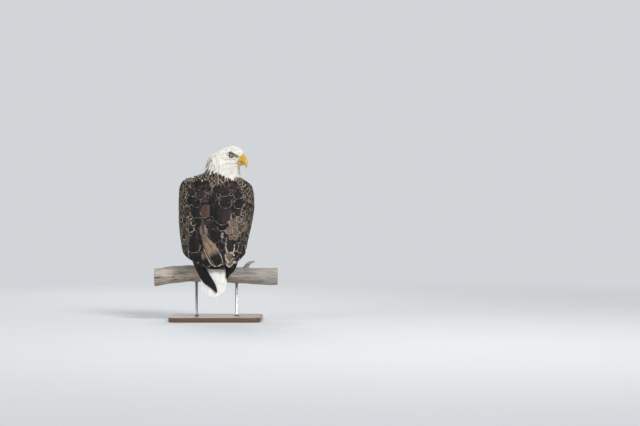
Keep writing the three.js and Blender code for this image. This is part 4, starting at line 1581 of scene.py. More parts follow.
    def body(self) -> Shape:
        """Brown feathers of the breast, belly, flanks and mantle, palest and most rimmed on the mantle."""
        row, column = spots(self.lie, height_of, np.arange(660.0, 250.0, -11.0), 14.0)
        points = self.lie.point(row, column)
        behind = smooth(points[:, 1], 50, 10)
        front = 16 * smooth(points[:, 1], -10, 25)
        keep = ~(self.lie.lies_on(WINGS, row, column) & (points[:, 2] < 560))
        keep &= points[:, 2] < border(points) + front + chance.uniform(4, 20, len(row))
        under = (self.lie.normal(row, column)[:, 1] > 0.1) & (points[:, 2] < 330)
        keep &= ((behind < 0.5) | (points[:, 2] > 582) | under) & (points[:, 2] > 272)
        row, column, points, behind = row[keep], column[keep], points[keep], behind[keep]
        count = len(row)
        mantle = behind * smooth(points[:, 2], 575, 590)
        length = np.interp(points[:, 2], [250, 400, 640], [52, 46, 34]) * (1 - 0.15 * mantle)
        made = self.tract(
            row, column, length, length * 0.27, length * 0.07,
            rim=np.clip(chance.uniform(0.0, 0.3, count) + chance.uniform(0.4, 1.0, count) * mantle, 0, 1),
            tone=chance.uniform(0.05, 0.55, count) + 0.1 * mantle,
            worn=np.clip(chance.normal(-0.3, 0.4, count) + 0.4 * mantle, 0, 1),
            wide=0.22 + chance.uniform(0.06, 0.3, count) * mantle)
        return lay(self.lie, made, self.body_vane, flow)

    def sunned(self, points: Array) -> Array:
        """How bleached the feathers are at points of the back, as bell curves about a few middles."""
        share = np.zeros(len(points))
        for x, height, wide, tall, most in SUNNED:
            spot = bell(points[:, 0] - x, wide) * bell(points[:, 2] - PERCH - height, tall)
            share = share + most * spot * (points[:, 1] < 0)
        return share

    def between(self) -> Shape:
        """Broad dark feathers of the back between the wings, over which the placed ones lie."""
        row, column = spots(self.lie, height_of, np.arange(602.0, 330.0, -16.0), 21.0, 0.22)
        points = self.lie.point(row, column)
        keep = ~self.lie.lies_on(WINGS, row, column) & (points[:, 1] < 20)
        row, column, points = row[keep], column[keep], points[keep]
        count = len(row)
        made = self.tract(
            row, column, chance.uniform(50, 66, count), chance.uniform(14, 18, count), np.full(count, 3.0),
            rim=chance.uniform(0.2, 0.9, count), tone=chance.uniform(0.0, 0.5, count),
            worn=np.clip(chance.normal(-0.3, 0.3, count) + self.sunned(points), 0, 1),
            wide=chance.uniform(0.16, 0.26, count), base=np.interp(points[:, 2], [565, 600], [-0.6, -3.2]))
        return lay(self.lie, made, self.back_vane, flow)

    def shoulders(self) -> Shape:
        """Close rows of dark, thin-rimmed feathers on both shoulders, which hide the big ones' roots."""
        row, column = spots(self.lie, height_of, np.arange(612.0, 545.0, -8.5), 14.0, 0.24)
        points = self.lie.point(row, column)
        keep = (points[:, 1] < 0) & (np.abs(points[:, 0] + 2) < 116 - 0.5 * np.abs(points[:, 2] - 575))
        keep &= np.abs(points[:, 0] - 2) > np.interp(points[:, 2], [575, 612], [14, 34])
        row, column = row[keep], column[keep]
        count = len(row)
        made = self.tract(
            row, column, chance.uniform(32, 40, count), chance.uniform(9, 12, count), np.full(count, 2.8),
            rim=chance.uniform(0.5, 1.0, count), tone=chance.uniform(0.0, 0.6, count),
            worn=np.clip(chance.normal(-0.4, 0.3, count), 0, 1),
            wide=chance.uniform(0.18, 0.28, count), base=0.9)
        return lay(self.lie, made, self.shoulder_vane, flow)

    def scapulars(self) -> Shape:
        """The big rounded feathers between the wings, with what lies under and over their roots."""
        large = self.singles(SCAPULARS, self.scapular_vane)
        return joined([self.between(), self.shoulders(), large])

    def singles(self, rows: Sequence[Sequence[float]], vane: Vane) -> Shape:
        """Single large feathers of the back, each of which makes for its own tip over the surface.

        Args:
            rows: For each feather the tip's x and height over the branch, the half width, the length, the
                lean from straight down in degrees towards +X, then lift, tone, rim, the rim's width, wear
                and the rise of the +X edge.
            vane: Their shape.

        Returns:
            The feathers, their roots sunk under those above them.
        """
        x, height, half, length, lean, lift, tone, rim, wide, worn, order = np.array(rows, float).T
        lean = np.radians(lean)
        tip = self.lie.point(*self.lie.facing(x, height + PERCH))
        row, column = self.lie.facing(x - np.sin(lean) * length, height + PERCH + np.cos(lean) * length)
        course = tip - self.lie.point(row, column)
        made = Tract(
            row=row, column=column, length=np.linalg.norm(course, axis=1) * 1.01, half=half, turn=0.0,
            base=0.2 * lift - 3.2, rise=0.8 * lift + 6.2, tone=tone, rim=rim, worn=worn, wide=wide,
            order=order)
        return lay(self.lie, made, vane, lambda points: tip + 0.1 * course - points)

    def on_wing(self, side: Side, levels: Array, gap: Array,
                loose: float = 0.16) -> tuple[Array, Array, Array]:
        """Places on one folded wing, in rings about where the wings meet.

        Args:
            side: Which wing.
            levels: The rings' distances, falling.
            gap: Distance between places in each ring.
            loose: Most that a place moves by chance, in gaps.

        Returns:
            Their rows, columns and points.
        """
        row, column = spots(self.lie, fold_distance, levels, gap, loose)
        points = self.lie.point(row, column)
        keep = self.lie.lies_on(WINGS, row, column) & (points[:, 0] * side > 0)
        return row[keep], column[keep], points[keep]

    def coverts(self, side: Side) -> Shape:
        """The small feathers of one folded wing, paler and more rimmed on its outer side.

        Args:
            side: Which wing.

        Returns:
            The feathers.
        """
        levels = []
        level = self.wing_stops[-1]
        while level > self.wing_stops[0]:
            levels.append(level)
            level -= np.interp(level, self.wing_stops, self.covert_gaps)
        gaps = 1.3 * np.interp(levels, self.wing_stops, self.covert_gaps)
        row, column, points = self.on_wing(side, np.array(levels), gaps)
        far = fold_distance(points)
        length = np.interp(far, self.wing_stops, self.covert_lengths)
        half = np.interp(far, self.wing_stops, self.covert_halves)
        count = len(row)
        bleached = self.sunned(points)
        inner = smooth(np.abs(points[:, 0]), 112, 98) * (points[:, 1] < 0)
        inner = np.maximum(inner, 0.8 * smooth(points[:, 2], 325, 295)) * (1 - np.clip(bleached, 0, 1))
        made = self.tract(
            row, column, length, half, length * 0.06, base=0.4,
            rim=chance.uniform(0.3, 1.0, count) * (1 - 0.7 * inner),
            tone=chance.uniform(0.0, 0.6, count) * (1 - 0.7 * inner),
            worn=np.clip(chance.normal(-0.25, 0.4, count) - inner + bleached, 0, 1),
            wide=chance.uniform(0.2, 0.46, count))
        return lay(self.lie, made, self.covert_vane, flow)

    def flights(self, side: Side) -> Shape:
        """The long outer feathers of one wing, which the coverts hide at their roots.

        Args:
            side: Which wing.

        Returns:
            The feathers.
        """
        row, column, points = self.on_wing(side, np.array([318.0, 296.0]), 15.0, 0.08)
        count = len(row)
        stop = np.interp(np.abs(points[:, 0]), [0, 60, 140], [158, 168, 214]) + chance.uniform(-3, 14, count)
        made = self.tract(
            row, column, fold_distance(points) - stop, np.full(count, 14.0), np.full(count, 2.5), base=0.2,
            rim=chance.uniform(0.1, 0.4, count), tone=chance.uniform(0.0, 0.45, count),
            turn=np.radians(chance.normal(0, 1.2, count)), order=1.4 * side)
        return lay(self.lie, made, self.flight_vane, flow)

    @staticmethod
    def tract(row: Array, column: Array, length: Array, half: Array, rise: Array, **more: object) -> Tract:
        """A tract with each number made a little uneven, and the rest given or plain.

        Args:
            row: The roots' rows.
            column: Their columns.
            length: Lengths.
            half: Half widths.
            rise: How much higher the tips are than the roots.
            **more: Any other numbers of the tract.

        Returns:
            The tract.
        """
        count = len(row)
        plain = {
            "turn": np.radians(chance.normal(0, 5, count)), "base": -0.6,
            "tone": chance.uniform(0.2, 0.8, count), "rim": 0.3,
            "worn": np.clip(chance.normal(-0.2, 0.35, count), 0, 1),
        }
        return Tract(row=row, column=column, length=jittered(length, 0.12), half=jittered(half, 0.08),
                     rise=jittered(rise, 0.2), **(plain | more))


SUNNED = (  # x, height over the branch, how far each way, and how much
    (78, 208, 30, 40, 1.5), (-97, 250, 20, 20, 0.7), (128, 325, 20, 26, 0.6), (70, 395, 40, 16, 0.3),
    (128, 240, 16, 60, 0.35), (-124, 200, 14, 60, 0.2))
SCAPULARS = (
    (-97, 339, 22, 60, 8, 3.0, 0.2, 0.9, 0.16, 0.1, 0),
    (-61, 328, 25, 60, 4, 3.2, 0.35, 0.9, 0.14, 0.1, 0),
    (-104, 304, 20, 60, 8, 1.8, 0.05, 0.4, 0.14, 0.0, 0),
    (-78, 292, 23, 62, 6, 2.0, 0.05, 0.4, 0.14, 0.0, 0),
    (-42, 248, 25, 88, -2, 3.2, 1.0, 0.8, 0.13, 0.2, 0),
    (-16, 302, 21, 64, 0, 1.8, 0.0, 0.2, 0.14, 0.0, 0),
    (-12, 252, 23, 80, 0, 1.4, 0.0, 0.25, 0.14, 0.0, 0),
    (-82, 246, 23, 70, 8, 1.4, 0.1, 0.4, 0.16, 0.0, 0),
    (-74, 206, 23, 70, 8, 0.8, 0.05, 0.25, 0.14, 0.0, 0),
    (40, 339, 25, 60, 4, 3.8, 0.35, 1.0, 0.15, 0.0, 0),
    (6, 350, 20, 50, 0, 3.0, 0.2, 0.5, 0.15, 0.0, 0),
    (50, 312, 22, 60, -2, 3.3, 0.2, 1.0, 0.15, 0.0, 0),
    (42, 289, 30, 74, -2, 2.9, 0.15, 1.0, 0.13, 0.0, 0),
    (91, 327, 22, 60, -4, 3.4, 0.2, 1.0, 0.17, 0.0, 0),
    (98, 286, 24, 62, -6, 2.6, 0.1, 1.0, 0.16, 0.0, 0),
    (95, 252, 17, 50, -6, 2.2, 0.25, 1.0, 0.22, 0.1, 0),
    # the big middle feather's lighter tone is a painted sheen
    (30, 216, 36, 120, -3, 3.0, 0.3, 1.2, 0.11, 0.0, 0),
    (12, 234, 30, 104, 2, 1.8, 0.1, 0.5, 0.12, 0.0, 0),
    (31, 190, 27, 92, -3, 1.5, 0.1, 1.1, 0.13, 0.0, 0),
    # this dark feather's wide faint rim is a painted sheen
    (-43, 160, 16, 90, 12, 4.6, 0.9, 0.4, 0.8, 0.1, 0),
)
TERTIALS = (
    (-100, 186, 16, 52, 8, 3.0, 0.2, 1.1, 0.22, 0.1, 0),
    (-88, 214, 14, 46, 8, 3.4, 0.2, 1.0, 0.26, 0.2, 0),
    (-102, 240, 11, 42, 16, 3.4, 0.4, 1.0, 0.36, 0.6, 0),
    (-86, 98, 30, 100, 6, 3.0, 0.2, 0.9, 0.12, 0.0, 0),
    (6, 140, 22, 120, 14, 0.6, 0.0, 0.1, 0.1, 0.0, 0),
    (28, 38, 24, 190, 27, 6.6, 0.1, 1.0, 0.13, 1.2, -2),
    (15, 36, 22, 184, 26, 3.9, 0.0, 1.2, 0.24, 0.3, -2),
    (-22, 38, 23, 128, 22, 1.8, 0.1, 0.6, 0.13, 0.9, -2),
    (-46, 44, 22, 150, 16, 0.4, 0.1, 0.4, 0.13, 0.1, -2),
    (-72, 56, 20, 150, 12, 0.0, 0.05, 0.3, 0.13, 0.0, -2),
    (86, 104, 14, 90, -8, 2.4, 0.2, 0.8, 0.2, 0.2, 2),
    (104, 86, 13, 110, -12, 1.6, 0.3, 1.2, 0.36, 0.3, 2),
    (94, 60, 14, 110, -12, 0.8, 0.25, 1.2, 0.3, 0.1, 2),
    (120, 104, 12, 90, -14, 1.2, 0.3, 1.2, 0.36, 0.5, 2),
)
TIPS = (
    (36, 158, 6, 60, 8, 4.4, 0.7, 0.7, 0.9, 0.1, 0),
    (79, 204, 19, 54, -4, 4.6, 0.9, 0.8, 0.22, 0.7, 0),
    (58, 228, 13, 44, -2, 4.0, 0.7, 0.8, 0.24, 0.4, 0),
    (101, 228, 15, 44, -6, 4.0, 0.9, 0.8, 0.3, 0.6, 0),
    (104, 186, 15, 50, -8, 4.2, 0.5, 0.9, 0.24, 0.3, 0),
    (88, 168, 18, 60, -6, 3.6, 0.8, 0.7, 0.24, 0.7, 0),
    (60, 176, 18, 60, -2, 3.8, 0.8, 0.5, 0.24, 0.9, 0),
    (66, 94, 23, 84, -2, 5.2, 0.2, 1.1, 0.36, 0.0, 0),
    (54, 70, 24, 74, -1, 3.4, 0.6, 1.3, 0.4, 0.9, 0),
    (61, 42, 22, 66, -1, 1.4, 0.6, 1.3, 0.4, 0.8, 0),
)


@dataclass(frozen=True)
class TailSurface:
    """The slanting sheet that tail and folded wing tips lie along."""

    slope: float = 0.3
    at: tuple[float, float] = (28.0, -131.0)  # height over the branch, and y there
    middle: float = -4.0
    half: float = 70.0

    def strip(self, rows: Sequence[Sequence[float]], heights: Array, share: Array, lift: Array | float,
              arch: float = 15.0) -> Lie:
        """A strip of the sheet as a grid.

        The sheet goes back as it falls, and its sides curl forwards as a square of x.

        Args:
            rows: The strip's height under the branch, x and half width.
            heights: Heights over the branch, falling.
            share: Places across it, in half widths.
            lift: How far it lies behind the sheet.
            arch: How far the sheet's sides curl.

        Returns:
            The strip.
        """
        middle, half = along(rows, -heights).T
        x = middle[:, None] + half[:, None] * share
        tall = heights[:, None] + 0 * x
        bow = arch * ((x - self.middle) / self.half) ** 2
        y = self.at[1] - self.slope * (self.at[0] - tall) + bow - lift
        return Lie(np.stack([x, y, tall + PERCH], -1), closed=False)


SHEET = TailSurface()


@dataclass
class Tail:
    """Twelve long white feathers, and the shorter ones that cover their roots on both sides."""

    rows: tuple[tuple[float, float, float], ...] = (
        (-104, -5, 46), (-60, -6, 60), (-12, -5, 65), (32, -3, 57), (65, -6, 50), (85, -10, 39),
        (94, -13, 30))
    pairs: int = 6
    length: float = 206.0
    spread: float = 0.66  # how far out the outermost run, in half widths
    edge: float = 1.25  # and where the grid ends
    cover_columns: int = 11
    vane: Vane = Vane(stations=26, sides=9, widest=0.8, root=0.6, tip_bend=2.6, ragged=0.008, camber=0.06,
                      thick=0.5, patch=(0.05, 0.3))
    cover_vane: Vane = Vane(stations=9, widest=0.6, ragged=0.06)

    def build(self) -> None:
        """Makes and dresses the tail."""
        piece("tail_feathers", self.feathers(), TAIL_WHITE, Slot.WHITE, "tail")
        piece("tail_covers_upper", self.covers(False), WHITE, Slot.WHITE)
        piece("tail_covers_under", self.covers(True), WHITE, Slot.WHITE)

    def surface(self, lift: float, flip: bool = False) -> Lie:
        """The sheet as a grid that narrows as the tail does, seen from behind or, flipped, from in front."""
        share = np.linspace(-self.edge, self.edge, 31)
        return SHEET.strip(self.rows, -np.linspace(-104, 96, 60), share[::-1] if flip else share, lift)

    def feathers(self) -> Shape:
        """The twelve, the middle pair uppermost."""
        lie = self.surface(-1.0)
        number = np.arange(2 * self.pairs) - self.pairs + 0.5
        share = number / self.pairs * self.spread
        made = Tract(
            row=np.full(len(number), 0.5), column=(share / self.edge + 1) / 2 * (lie.columns - 1),
            length=self.length - 0.56 * number**2, half=21.0, turn=0.0, base=3.4 - 0.85 * np.abs(number),
            rise=1.0, tone=chance.uniform(0.6, 0.95, len(number)), rim=0.3,
            worn=chance.uniform(0.0, 0.25, len(number)), order=-0.8 * np.sign(number))
        return lay(lie, made, self.vane)

    def covers(self, flip: bool) -> Shape:
        """Soft feathers over the roots of the long ones.

        Args:
            flip: Whether they lie in front of the tail and not behind it.

        Returns:
            The feathers.
        """
        lie = self.surface(-9.0 if flip else 1.0, flip)
        levels = np.arange(3.0, 27.0, 3.2)
        count = len(levels) * self.cover_columns
        row = np.repeat(levels, self.cover_columns) + chance.uniform(-0.6, 0.6, count)
        column = np.tile(np.linspace(8.5, 21.0, self.cover_columns), len(levels))
        column = column + np.repeat(np.arange(len(levels)) % 2, self.cover_columns) * 0.8
        made = Tract(
            row=row, column=column, length=chance.uniform(46, 58, count), half=chance.uniform(11, 14, count),
            turn=np.radians(chance.normal(0, 4, count)), base=-1.0, rise=chance.uniform(2.6, 4.0, count),
            tone=chance.uniform(0.5, 0.95, count), rim=0.2, worn=0.0)
        return lay(lie, made, self.cover_vane)


@dataclass
class WingTip:
    """The long dark blades past the end of one folded wing, the innermost the longest and uppermost."""

    side: Side
    line: tuple[tuple[float, float, float], ...]  # height under the branch, x and half width
    blades: int
    step: float  # how much shorter each blade is than the one inside it
    half: float  # a blade's half width
    short: float = 12.0  # how far the longest ends before the line does
    fan: float = 0.5  # how far apart the blades' middles are, in half widths of the whole
    edge: float = 1.3  # where the grid ends, in half widths
    middle: int = 8  # the grid's middle column
    vane: Vane = Vane(stations=28, sides=7, widest=0.7, root=0.45, tip_fall=0.7, ragged=0.01, camber=0.1,
                      thick=0.5, patch=(0.05, 0.3))

    def build(self) -> None:
        """Makes and dresses the blades."""
        word = self.side.word
        piece("blades_" + word, self.feathers(), BLACK, Slot.BLACK, "wingtip_" + word)

    def feathers(self) -> Shape:
        """The blades, laid along the bent line of the tip."""
        heights = -np.linspace(self.line[0][0], self.line[-1][0] + 6, 48)
        lift = 2.5 + np.interp(heights[:, None], [-30, 60], [7.0, 9.5])
        share = np.linspace(-self.edge, self.edge, 2 * self.middle + 1)
        lie = SHEET.strip(self.line, heights, share, lift, 25.0)
        full = np.linalg.norm(np.diff(lie.points[:, self.middle], axis=0), axis=1).sum() - self.short
        number = np.arange(self.blades)
        off = self.fan - 2 * self.fan * number / (self.blades - 1)
        made = Tract(
            row=np.full(self.blades, 0.5), column=self.middle + self.side * off * self.middle / self.edge,
            length=full - self.step * number[::-1], half=self.half, turn=0.0, base=0.8 * number - 2.0,
            rise=0.6, tone=chance.uniform(0.1, 0.6, self.blades), rim=0.25, worn=0.0, order=-0.8 * self.side)
        return lay(lie, made, self.vane)


WING_TIPS = (
    WingTip(Side.LEFT, ((-104, -92, 22), (-66, -82, 27), (-42, -68, 28), (-13, -51, 26), (13, -35, 25),
                        (40, -17, 22), (62, -1, 14), (70, 7, 7)), blades=6, step=6.0, half=12.0),
    WingTip(Side.RIGHT, ((-100, 90, 20), (-62, 82, 24), (-38, 74, 21), (-12, 64, 16), (8, 59, 9),
                         (17, 58, 4)), blades=4, step=7.0, half=10.0),
)


@dataclass
class Thigh:
    """The feathered upper part of one leg."""

    side: Side
    spine: tuple[tuple[float, ...], ...] = (  # minus height, x out to the side, and y
        (-405, 42, 37), (-370, 46, 24), (-330, 48, 14), (-298, 48, 5), (-275, 47, 0), (-262, 47, -2))
    vane: Vane = Vane(stations=8, widest=0.55, tip_bend=1.8, ragged=0.06)

    def build(self) -> None:
        """Makes and dresses the thigh's feathers."""
        piece("thigh_feathers_" + self.side.word, self.feathers(), BROWN, Slot.BROWN)

    def surface(self) -> Lie:
        """The outside of the thigh's solid, as seen from its own spine."""
        depths = np.arange(-400.0, -266.0, 3.0)
        out, y = along(self.spine, depths).T
        centres = np.column_stack([out * self.side - 4, y, -depths])
        node = "thigh_" + self.side.word
        return wrapped((node,), centres, np.zeros(len(depths)), 72, 120.0, np.full(len(depths), 0.5))

    def feathers(self) -> Shape:
        """Soft feathers that hang down the thigh and a little over the foot."""
        lie = self.surface()
        row, column = spots(lie, height_of, np.arange(398.0, 268.0, -8.5), 11.0, 0.2)
        length = np.interp(lie.point(row, column)[:, 2], [268, 300, 400], [15, 28, 40])
        made = Coat.tract(
            row, column, length, length * 0.26, length * 0.09,
            rim=chance.uniform(0.1, 0.4, len(row)), tone=chance.uniform(0.1, 0.6, len(row)))
        return lay(lie, made, self.vane)


# ---- the skin under the feathers
@dataclass
class Skin:
    """One closed skin under all the feathers."""

    lie: Lie  # head, neck, trunk and wings
    thighs: Sequence[Lie]
    depths: tuple[tuple[float, ...], ...] = (  # distances from the face's front, and how deep it lies there
        (25, 60, 100, 170), (1.0, 1.7, 3.0, 4.5))
    lid_depth: float = 2.5  # how much deeper round the eyes
    thigh_depth: float = 4.0
    voxel: float = 0.0027  # in metres

    def build(self) -> None:
        """Makes and dresses the skin.

        The measured surfaces are moved inwards by the plumage's depth, closed at their ends and merged by
        a voxel remesh, then smoothed.
        """
        depth = np.interp(np.linalg.norm(self.lie.points - FACE_FRONT, axis=-1), *self.depths)
        for side in Side:
            depth = depth + self.lid_depth * smooth(Eye(side).above(self.lie.points)[1], 11.5, 8.5)
        parts = [self.sunk(self.lie, depth)]
        for thigh in self.thighs:
            parts.append(self.sunk(thigh, np.full(thigh.points.shape[:2], self.thigh_depth)))
        made = joined(parts).build("skin", UnderSkin().made())
        merge = made.modifiers.new("merge", "REMESH")
        merge.mode = "VOXEL"
        merge.voxel_size = self.voxel
        merge.use_smooth_shade = True
        ease = made.modifiers.new("ease", "SMOOTH")
        ease.factor = 0.5
        ease.iterations = 4
        graph = bpy.context.evaluated_depsgraph_get()
        mesh = bpy.data.meshes.new_from_object(made.evaluated_get(graph), depsgraph=graph)
        made.modifiers.clear()
        made.data = mesh
        placed(made, Slot.BROWN, *SPINE_NODES[:5], "thigh_left", "thigh_right")

    @staticmethod
    def sunk(lie: Lie, depth: Array) -> Shape:
        """A measured surface moved inwards and closed."""
        inner = lie.inset(depth).points
        return facing_out(tube(inner), inner.mean(axis=(0, 1)))


# ---- bill and face
@dataclass
class Bill:
    """The hooked upper bill with its cere, and the lower bill between its edges.

    Each row of the upper bill gives the ridge's ahead and up, the cutting edges' ahead and up, and the
    half width. Rows stand evenly from the root to the tip.
    """

    rows: tuple[tuple[float, ...], ...] = (
        (14, 12, 16, -31, 16.8), (28, 11.5, 28, -31.5, 15.6), (41, 8.5, 40, -31, 13.9),
        (50, 4, 47.5, -31, 12.7), (55, 1, 50.5, -33, 12.4), (62.5, -6, 52, -35.5, 11.8),
        (68.5, -13, 54.5, -38, 10.8),
        (73.5, -21, 57.5, -41, 9.4), (76.4, -29.5, 60, -43.8, 7.9), (76.6, -38, 62.5, -46.8, 6.1),
        (74.6, -45.5, 64.8, -49.8, 4.2), (71.5, -51, 66.6, -52.6, 2.3), (68.6, -54.6, 67.4, -54.8, 0.8))
    lower: tuple[tuple[float, ...], ...] = (  # ahead, half width, and up at its top and bottom
        (2, 15.5, -35, -44), (16, 14.5, -33.5, -45), (30, 12.4, -32, -46), (42, 9.6, -32, -45.5),
        (50, 6.6, -34, -43.5), (54, 3, -37, -40.5))
    ridge: float = 1.85  # roundness of the ridge
    edge: float = 2.8  # and of the cutting edges
    hollow: float = 0.24  # how far the underside is dished
    seam: tuple[float, float, float] = (51.5, -14.0, 4.0)  # ahead, up and slant of the cere's front
    under_seam: float = 0.035  # how far the horn starts behind it, in shares of the length
    cere_proud: float = 0.7
    turned_in: tuple[float, ...] = (0.85, 0.4)  # how proud its last rings are, in shares of that
    sunk: tuple[float, ...] = (-0.6, -2.5)  # and how far the very last lie inside the horn
    nostril_size: tuple[float, float] = (3.6, 1.7)
    nostril_depth: float = 1.6
    tooth: float = 1.1  # how far the cutting edges bulge down behind the hook
    closed: float = 1.2  # how far the lower bill is raised into the upper
    sides: int = 72

    def build(self) -> None:
        """Makes and dresses the bill."""
        piece("bill_horn", self.horn(), Horn(), Slot.HORN, "bill_upper")
        piece("bill_cere", self.cere(), Cere(), Slot.CERE, "cere")
        piece("bill_under", self.under(), Horn(), Slot.HORN, "bill_lower")

    def upper(self, place: Array, turn: Array) -> Array:
        """Points of the upper bill.

        The section lies between its ridge and its edges: a rounded cosine says how near the ridge, and a
        rounded sine how far out. Under the edges the cosine is eased, which dishes the underside.

        Args:
            place: Shares of its length.
            turn: Angles from the ridge.

        Returns:
            Ahead, left and up of each.
        """
        ridge_ahead, ridge_up, edge_ahead, edge_up, half = np.moveaxis(steps(self.rows, place), -1, 0)
        power = np.where(np.cos(turn) > 0, self.ridge, self.edge)
        near = rounded(np.cos(turn), power)
        near = np.where(near < 0, near * (1 - self.hollow * np.cos(turn) ** 4), near)
        share = 0.5 + 0.5 * near
        ahead = edge_ahead + (ridge_ahead - edge_ahead) * share
        up = edge_up + (ridge_up - edge_up) * share
        return np.stack([ahead, -half * rounded(np.sin(turn), power), up], -1)

    def cut(self, turn: Array) -> Array:
        """The share of the length where each line along the bill crosses the cere's slanted front."""
        place = np.linspace(0, 0.6, 160)[:, None]
        ahead, _, up = np.moveaxis(self.upper(place + 0 * turn, turn + 0 * place), -1, 0)
        slant = np.radians(self.seam[2])
        past = (ahead - self.seam[0]) * np.cos(slant) - (up - self.seam[1]) * np.sin(slant) > 0
        return place[np.argmax(past, axis=0), 0]

    def cere(self) -> Shape:
        """The cere: the bill's root, a little proud, turned in at its front and pierced by the nostrils."""
        turn = circle(self.sides)
        share = np.append(np.linspace(0, 1, 48), [1.0, 1.0])[:, None]
        parts = self.upper(share * self.cut(turn), turn + 0 * share)
        last = [*(self.cere_proud * part for part in self.turned_in), *self.sunk]
        proud = np.concatenate([np.full(len(share) - len(last), self.cere_proud), last])
        parts = parts + unit(parts - parts.mean(axis=1, keepdims=True)) * proud[:, None, None]
        ahead = parts[..., 0] - NOSTRIL[0]
        up = parts[..., 2] - NOSTRIL[1]
        length, height = self.nostril_size
        far = ((ahead * np.cos(NOSTRIL_LEAN) + up * np.sin(NOSTRIL_LEAN)) / length) ** 2
        far = far + ((up * np.cos(NOSTRIL_LEAN) - ahead * np.sin(NOSTRIL_LEAN)) / height) ** 2
        out = parts[..., 1]
        parts[..., 1] = out - np.sign(out) * self.nostril_depth * np.exp(-far) * (np.abs(out) > 3)
        return tube(HEAD.place(parts))

    def horn(self) -> Shape:
        """The horn, from just under the cere to the hook's tip."""
        turn = circle(self.sides)
        start = self.cut(turn) - self.under_seam
        share = (np.linspace(0, 1, 90) ** 0.9)[:, None]
        parts = self.upper(start + (1 - start) * share, turn + 0 * share)
        parts[..., 2] -= self.tooth * bell(share - 0.2, 0.12) * bell(np.abs(turn - np.pi) - 0.62, 0.3)
        return tube(HEAD.place(parts))

    def under(self) -> Shape:
        """The lower bill, a trough with rounded edges."""
        turn = circle(48)
        ahead = np.concatenate([np.linspace(2, 50, 36), 50 + 4 * np.sin(np.linspace(0.1, np.pi / 2, 12))])
        half, top, bottom = along(self.lower, ahead).T
        close = np.sqrt(np.clip(1 - ((ahead - 46) / 8.2).clip(0, 1) ** 2, 0.003, 1))
        middle = (top + bottom) / 2
        deep = (top - bottom) / 2 * close
        side = -(half * close)[:, None] * rounded(np.sin(turn), 2.6)
        up = middle[:, None] + deep[:, None] * rounded(np.cos(turn), 2.4) + self.closed
        return tube(HEAD.place(np.stack([ahead[:, None] + 0 * side, side, up], -1)))


# The lids' near-black is partly their own dark skin and partly painted shade of the brows.
SHADED_LID_SKIN = BareSkin("lid_skin", (0.055, 0.05, 0.04), (0.018, 0.015, 0.012), 1400.0, 0.0, 0.2)
# The brows' dark olive is partly their own skin and partly painted shade under the overhang.
SHADED_BROW_SKIN = BareSkin("brow_skin", (0.21, 0.18, 0.09), (0.09, 0.075, 0.04), 1200.0, 0.0, 0.2)
GAPE_SKIN = BareSkin("gape_skin", (0.74, 0.50, 0.09), (0.50, 0.29, 0.04), 1200.0, 0.0, 0.15)
FOOT_SKIN = BareSkin("foot_skin", (0.70, 0.42, 0.035), (0.30, 0.14, 0.012), 700.0, 330.0, 0.35)


